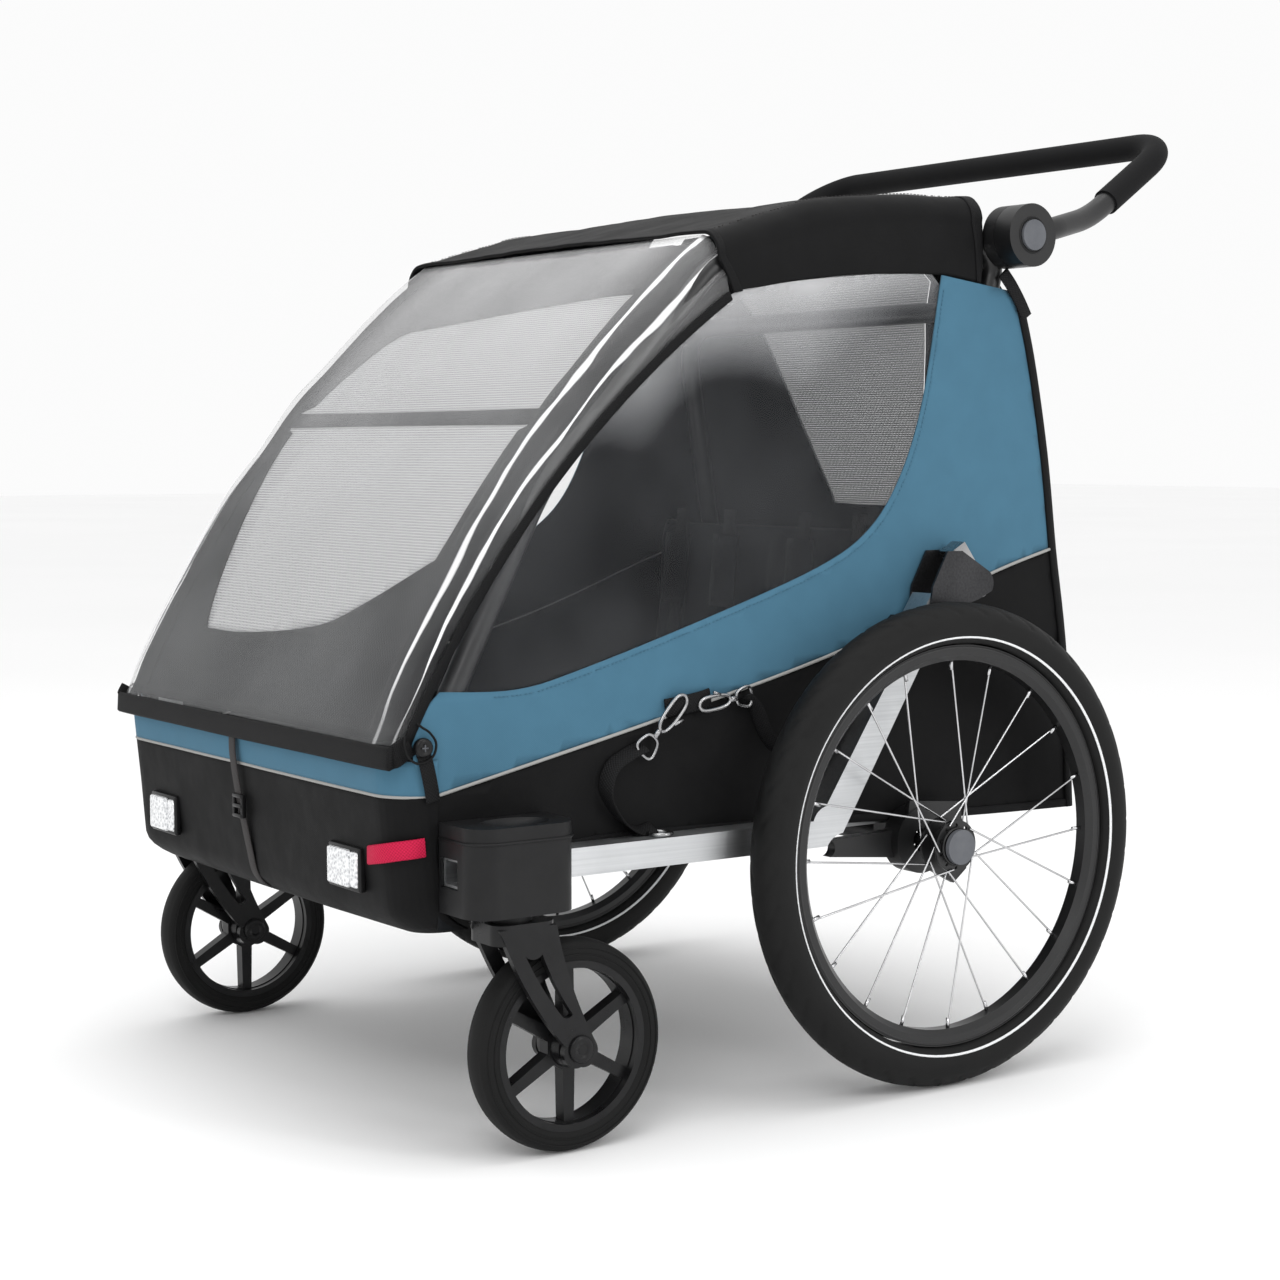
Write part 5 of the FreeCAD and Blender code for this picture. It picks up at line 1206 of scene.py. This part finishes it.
def caster_details(name):
    """Tread grooves and axle bolt heads of one caster."""
    low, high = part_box("caster_tyre_" + name)
    centre = (low + high) / 2
    outer = (high.z - low.z) / 2 * 1000
    rings = []
    for way in (-1, 1):
        for radius, depth in ((outer - 6.5, 0.9), (outer - 13.0, 0.7)):
            x = (high.x - low.x) / 2 * 1000
            profile = [(way * (x + 0.5), radius), (way * (x + 0.9), radius - depth),
                       (way * (x + 0.5), radius - 2 * depth),
                       (way * (x - 1.0), radius - 2 * depth), (way * (x - 1.0), radius)]
            rings.append(turned("ring", profile, centre, (1, 0, 0), CASTER_RUBBER, 96, True))
    ribs = joined("caster_ribs_" + name, rings)
    settle(ribs, "caster_roller_" + name)
    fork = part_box("caster_fork_" + name)
    bolts = []
    for face, way in ((fork[0].x, -1), (fork[1].x, 1)):
        head = Vector((face - way * 0.003, centre.y, centre.z))
        bolts.append(turned("head", [(0, 13.0), (2.2, 13.0), (3.4, 11.5), (3.4, 5.0), (1.2, 4.4), (1.2, 0)],
                            head,
                            (way, 0, 0), SATIN_PLASTIC, 40))
        bolts.append(turned("bolt", [(1.0, 4.6), (2.8, 4.2), (2.8, 2.0), (1.8, 1.8), (1.8, 0)], head,
                            (way, 0, 0), STEEL,
                            6))
    heads = joined("caster_bolts_" + name, bolts)
    settle(heads, "caster_" + name)


def housing_details(name, side):
    """Lid line round the housing's top."""
    low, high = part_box("caster_housing_" + name)
    inner, outer = (low.x, high.x) if side > 0 else (high.x, low.x)
    corner = 0.026
    z = high.z - 0.014
    points = []
    front, rear = low.y - 0.0006, high.y + 0.0006
    outer += side * 0.0006
    arc = [(math.cos(a), math.sin(a)) for a in (math.pi / 2 * k / 8 for k in range(9))]
    points.append((inner + side * 0.002, front))
    points += [(outer - side * corner + side * corner * s, front + corner - corner * c) for c, s in arc]
    points += [(outer - side * corner + side * corner * c, rear - corner + corner * s) for c, s in arc]
    points.append((inner + side * 0.002, rear))
    line = [Vector((x, y, z)) for x, y in points]
    lip = rod("housing_lid_line_" + name, line, 1.3, BLACK_PLASTIC, 8)
    settle(lip, "chassis")


def hub_details(name, side):
    """Rings round the handlebar hub's button."""
    low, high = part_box("hub_button_" + name)
    centre = (low + high) / 2
    face = high.x if side > 0 else low.x
    hub_face = face - side * 0.003
    ring = turned("hub_ring_" + name,
                  [(0.0, 17.2), (0.8, 17.6), (0.8, 19.2), (0.0, 19.6), (-1.0, 19.6), (-1.0, 17.2)],
                  Vector((hub_face, centre.y, centre.z)), (side, 0, 0), SATIN_PLASTIC, 64, True)
    settle(ring, "handlebar")
    tape = [at(side * (CABIN + 1.0), 128, 842), at(side * (CABIN + 2.0), 140, 828),
            at(side * (CABIN + 2.0), 152, 812),
            at(side * (CABIN + 1.0), 163, 796)]
    strap = ribbon("hub_strap_" + name, eased(tape), Vector((0, 1, 0.8)),
                   16.0, 3.0, WEB)
    settle(strap)


# --- seat and harness -------------------------------------------------------------------------------

VOXEL, FARTHEST, CLOTH_FRAMES = 0.009, 0.010, 15


def cushion(name, low, high, lean, channels):
    """A stuffed pad between two corners in mm, blown up as cloth, then creased along its channels."""
    low, high = Vector(low), Vector(high)
    size = high - low
    mesh = bmesh.new()
    bmesh.ops.create_cube(mesh, size=1.0)
    bmesh.ops.subdivide_edges(mesh, edges=mesh.edges, cuts=9, use_grid_fill=True)
    for vert in mesh.verts:
        share = vert.co + Vector((0.5, 0.5, 0.5))
        vert.co = Vector((low.x + size.x * share.x, low.y + size.y * share.y, low.z + size.z * share.z)) * MM
    data = bpy.data.meshes.new(name)
    mesh.to_mesh(data)
    mesh.free()
    obj = bpy.data.objects.new(name, data)
    bpy.context.scene.collection.objects.link(obj)
    remesh = obj.modifiers.new("even", "REMESH")
    remesh.mode = "VOXEL"
    remesh.voxel_size = VOXEL
    apply_modifiers(obj)
    rest = [v.co.copy() for v in obj.data.vertices]
    cloth = obj.modifiers.new("cloth", "CLOTH")
    cloth.settings.use_pressure = True
    cloth.settings.uniform_pressure_force = 4.0
    cloth.settings.effector_weights.gravity = 0.0
    for step in range(1, CLOTH_FRAMES):
        bpy.context.scene.frame_set(step)
    apply_modifiers(obj)
    bpy.context.scene.frame_set(1)
    for vert, start in zip(obj.data.vertices, rest):
        move = vert.co - start
        if move.length > FARTHEST:
            vert.co = start + move * (FARTHEST / move.length)
    for vert in obj.data.vertices:
        dent = 0.0
        for u in channels:
            dent = max(dent, 1 - abs(vert.co.x - u * MM) / 0.010)
        middle = Vector((vert.co.x, (low.y + high.y) / 2 * MM, (low.z + high.z) / 2 * MM))
        thin = 1 if size.y < size.z else 2
        offset = vert.co[thin] - middle[thin]
        vert.co[thin] -= offset * 0.35 * dent
    for vert in obj.data.vertices:
        y, z = lean(vert.co.y / MM, vert.co.z / MM)
        vert.co.y, vert.co.z = y * MM + AXLE.y, z * MM
    obj.data.materials.append(GREY)
    obj.data.shade_smooth()
    smoothing = obj.modifiers.new("soft", "SUBSURF")
    smoothing.levels = smoothing.render_levels = 1
    apply_modifiers(obj)
    return obj


BACK_FOOT = 352
CHILD_X, SHOULDER_X = 118, 48


def seat():
    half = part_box("seat")[1].x * 1000 - 12.0
    channels = (-160, -80, 0, 80, 160)
    bench = cushion("seat_bench", (-half, -258, 330), (half, 28, 348), lambda y, z: (y, z), channels)
    settle(bench, stands_for="seat")
    tilt = (84.0 - 46.0) / (756.0 - 350.0)
    back = cushion("seat_back", (-half, 40, BACK_FOOT), (half, 56, 576), lambda y,
                   z: (y + (z - BACK_FOOT) * tilt, z), channels)
    settle(back)
    parts = []
    for child in (-CHILD_X, CHILD_X):
        for offset in (-SHOULDER_X, SHOULDER_X):
            x = child + offset
            line = [at(x, 30 + (z - BACK_FOOT) * tilt, z) for z in range(404, 585, 12)]
            parts.append(ribbon("shoulder", line, Vector((1, 0, 0)), 24.0, 3.0, WEB))
            pad_line = [at(x, 26 + (z - BACK_FOOT) * tilt, z) for z in range(470, 566, 12)]
            parts.append(ribbon("pad", pad_line, Vector((1, 0, 0)), 46.0, 9.0, GREY, 0.3))
        parts.append(block("buckle", at(child - 20, -62, 356), at(child + 20, -20, 370), SATIN_PLASTIC, 4.0))
        parts.append(ribbon("crotch", [at(child, y, 353) for y in range(-120, -40, 10)], Vector((1, 0, 0)),
                            24.0, 2.4, WEB))
    belts = joined("harness_belts", parts)
    settle(belts, stands_for="harness")


# --- studio -----------------------------------------------------------------------------------------

def area_light(name, place, target, size, size_y, power):
    data = bpy.data.lights.new(name, "AREA")
    data.shape = "RECTANGLE"
    data.size = size
    data.size_y = size_y
    data.energy = power
    obj = bpy.data.objects.new(name, data)
    obj.location = place
    obj.rotation_euler = (Vector(target) - Vector(place)).to_track_quat("-Z", "Y").to_euler()
    bpy.context.scene.collection.objects.link(obj)


CAMERA_PLACE = (2.22036, -1.67408 + AXLE.y, 0.65655)
CAMERA_DOWN, CAMERA_ROUND = 4.520, 55.137
CAMERA_LENS, CAMERA_SENSOR = 68.36, 36.0
WORLD_STRENGTH = 0.97


def studio():
    size = 30.0
    floor = new_object("floor", [(-size, -size, 0), (size, -size, 0), (size, size, 0), (-size, size, 0)],
                       [(0, 1, 2, 3)],
                       floor_material())
    world = bpy.data.worlds.new("studio")
    bpy.context.scene.world = world
    world.use_nodes = True
    world.node_tree.nodes["Background"].inputs["Color"].default_value = (1.0, 1.0, 1.0, 1.0)
    world.node_tree.nodes["Background"].inputs["Strength"].default_value = WORLD_STRENGTH
    area_light("key", (2.4, -2.4, 3.0), (0, -0.1, 0.5), 1.6, 1.6, 26)
    area_light("top", (0.2, -0.2, 3.4), (0, 0, 0.5), 2.2, 2.2, 34)
    area_light("strip", (3.0, 0.9, 1.6), (0.3, 0, 0.6), 0.35, 2.4, 16)
    camera = bpy.data.objects.new("camera", bpy.data.cameras.new("camera"))
    camera.location = CAMERA_PLACE
    camera.rotation_euler = (math.radians(90 - CAMERA_DOWN), 0.0, math.radians(CAMERA_ROUND))
    camera.data.lens = CAMERA_LENS
    camera.data.sensor_width = CAMERA_SENSOR
    bpy.context.scene.collection.objects.link(camera)
    bpy.context.scene.camera = camera
    bpy.context.scene.view_settings.view_transform = "Standard"


def floor_material():
    s = Shader("pale_floor")
    cloud = s.noise(0.6, 2.0)
    s.set(Base_Color=s.ramp(cloud, 0.3, 0.7, (0.95, 0.95, 0.95), (0.97, 0.97, 0.97)), Roughness=0.9)
    return s.set(Specular_IOR_Level=0.1).material


dress_nodes()
rain_cover()
front_screen()
side_panels()
roof_cover()
rear_cloth()
rear_pocket()
nose()
reflectors()
pull_tab()
front_strap()
cover_toggles()
safety_straps()
for name, side in SIDES:
    tyre(name, side)
    caster_details(name)
    housing_details(name, side)
    hub_details(name, side)
seat()
studio()
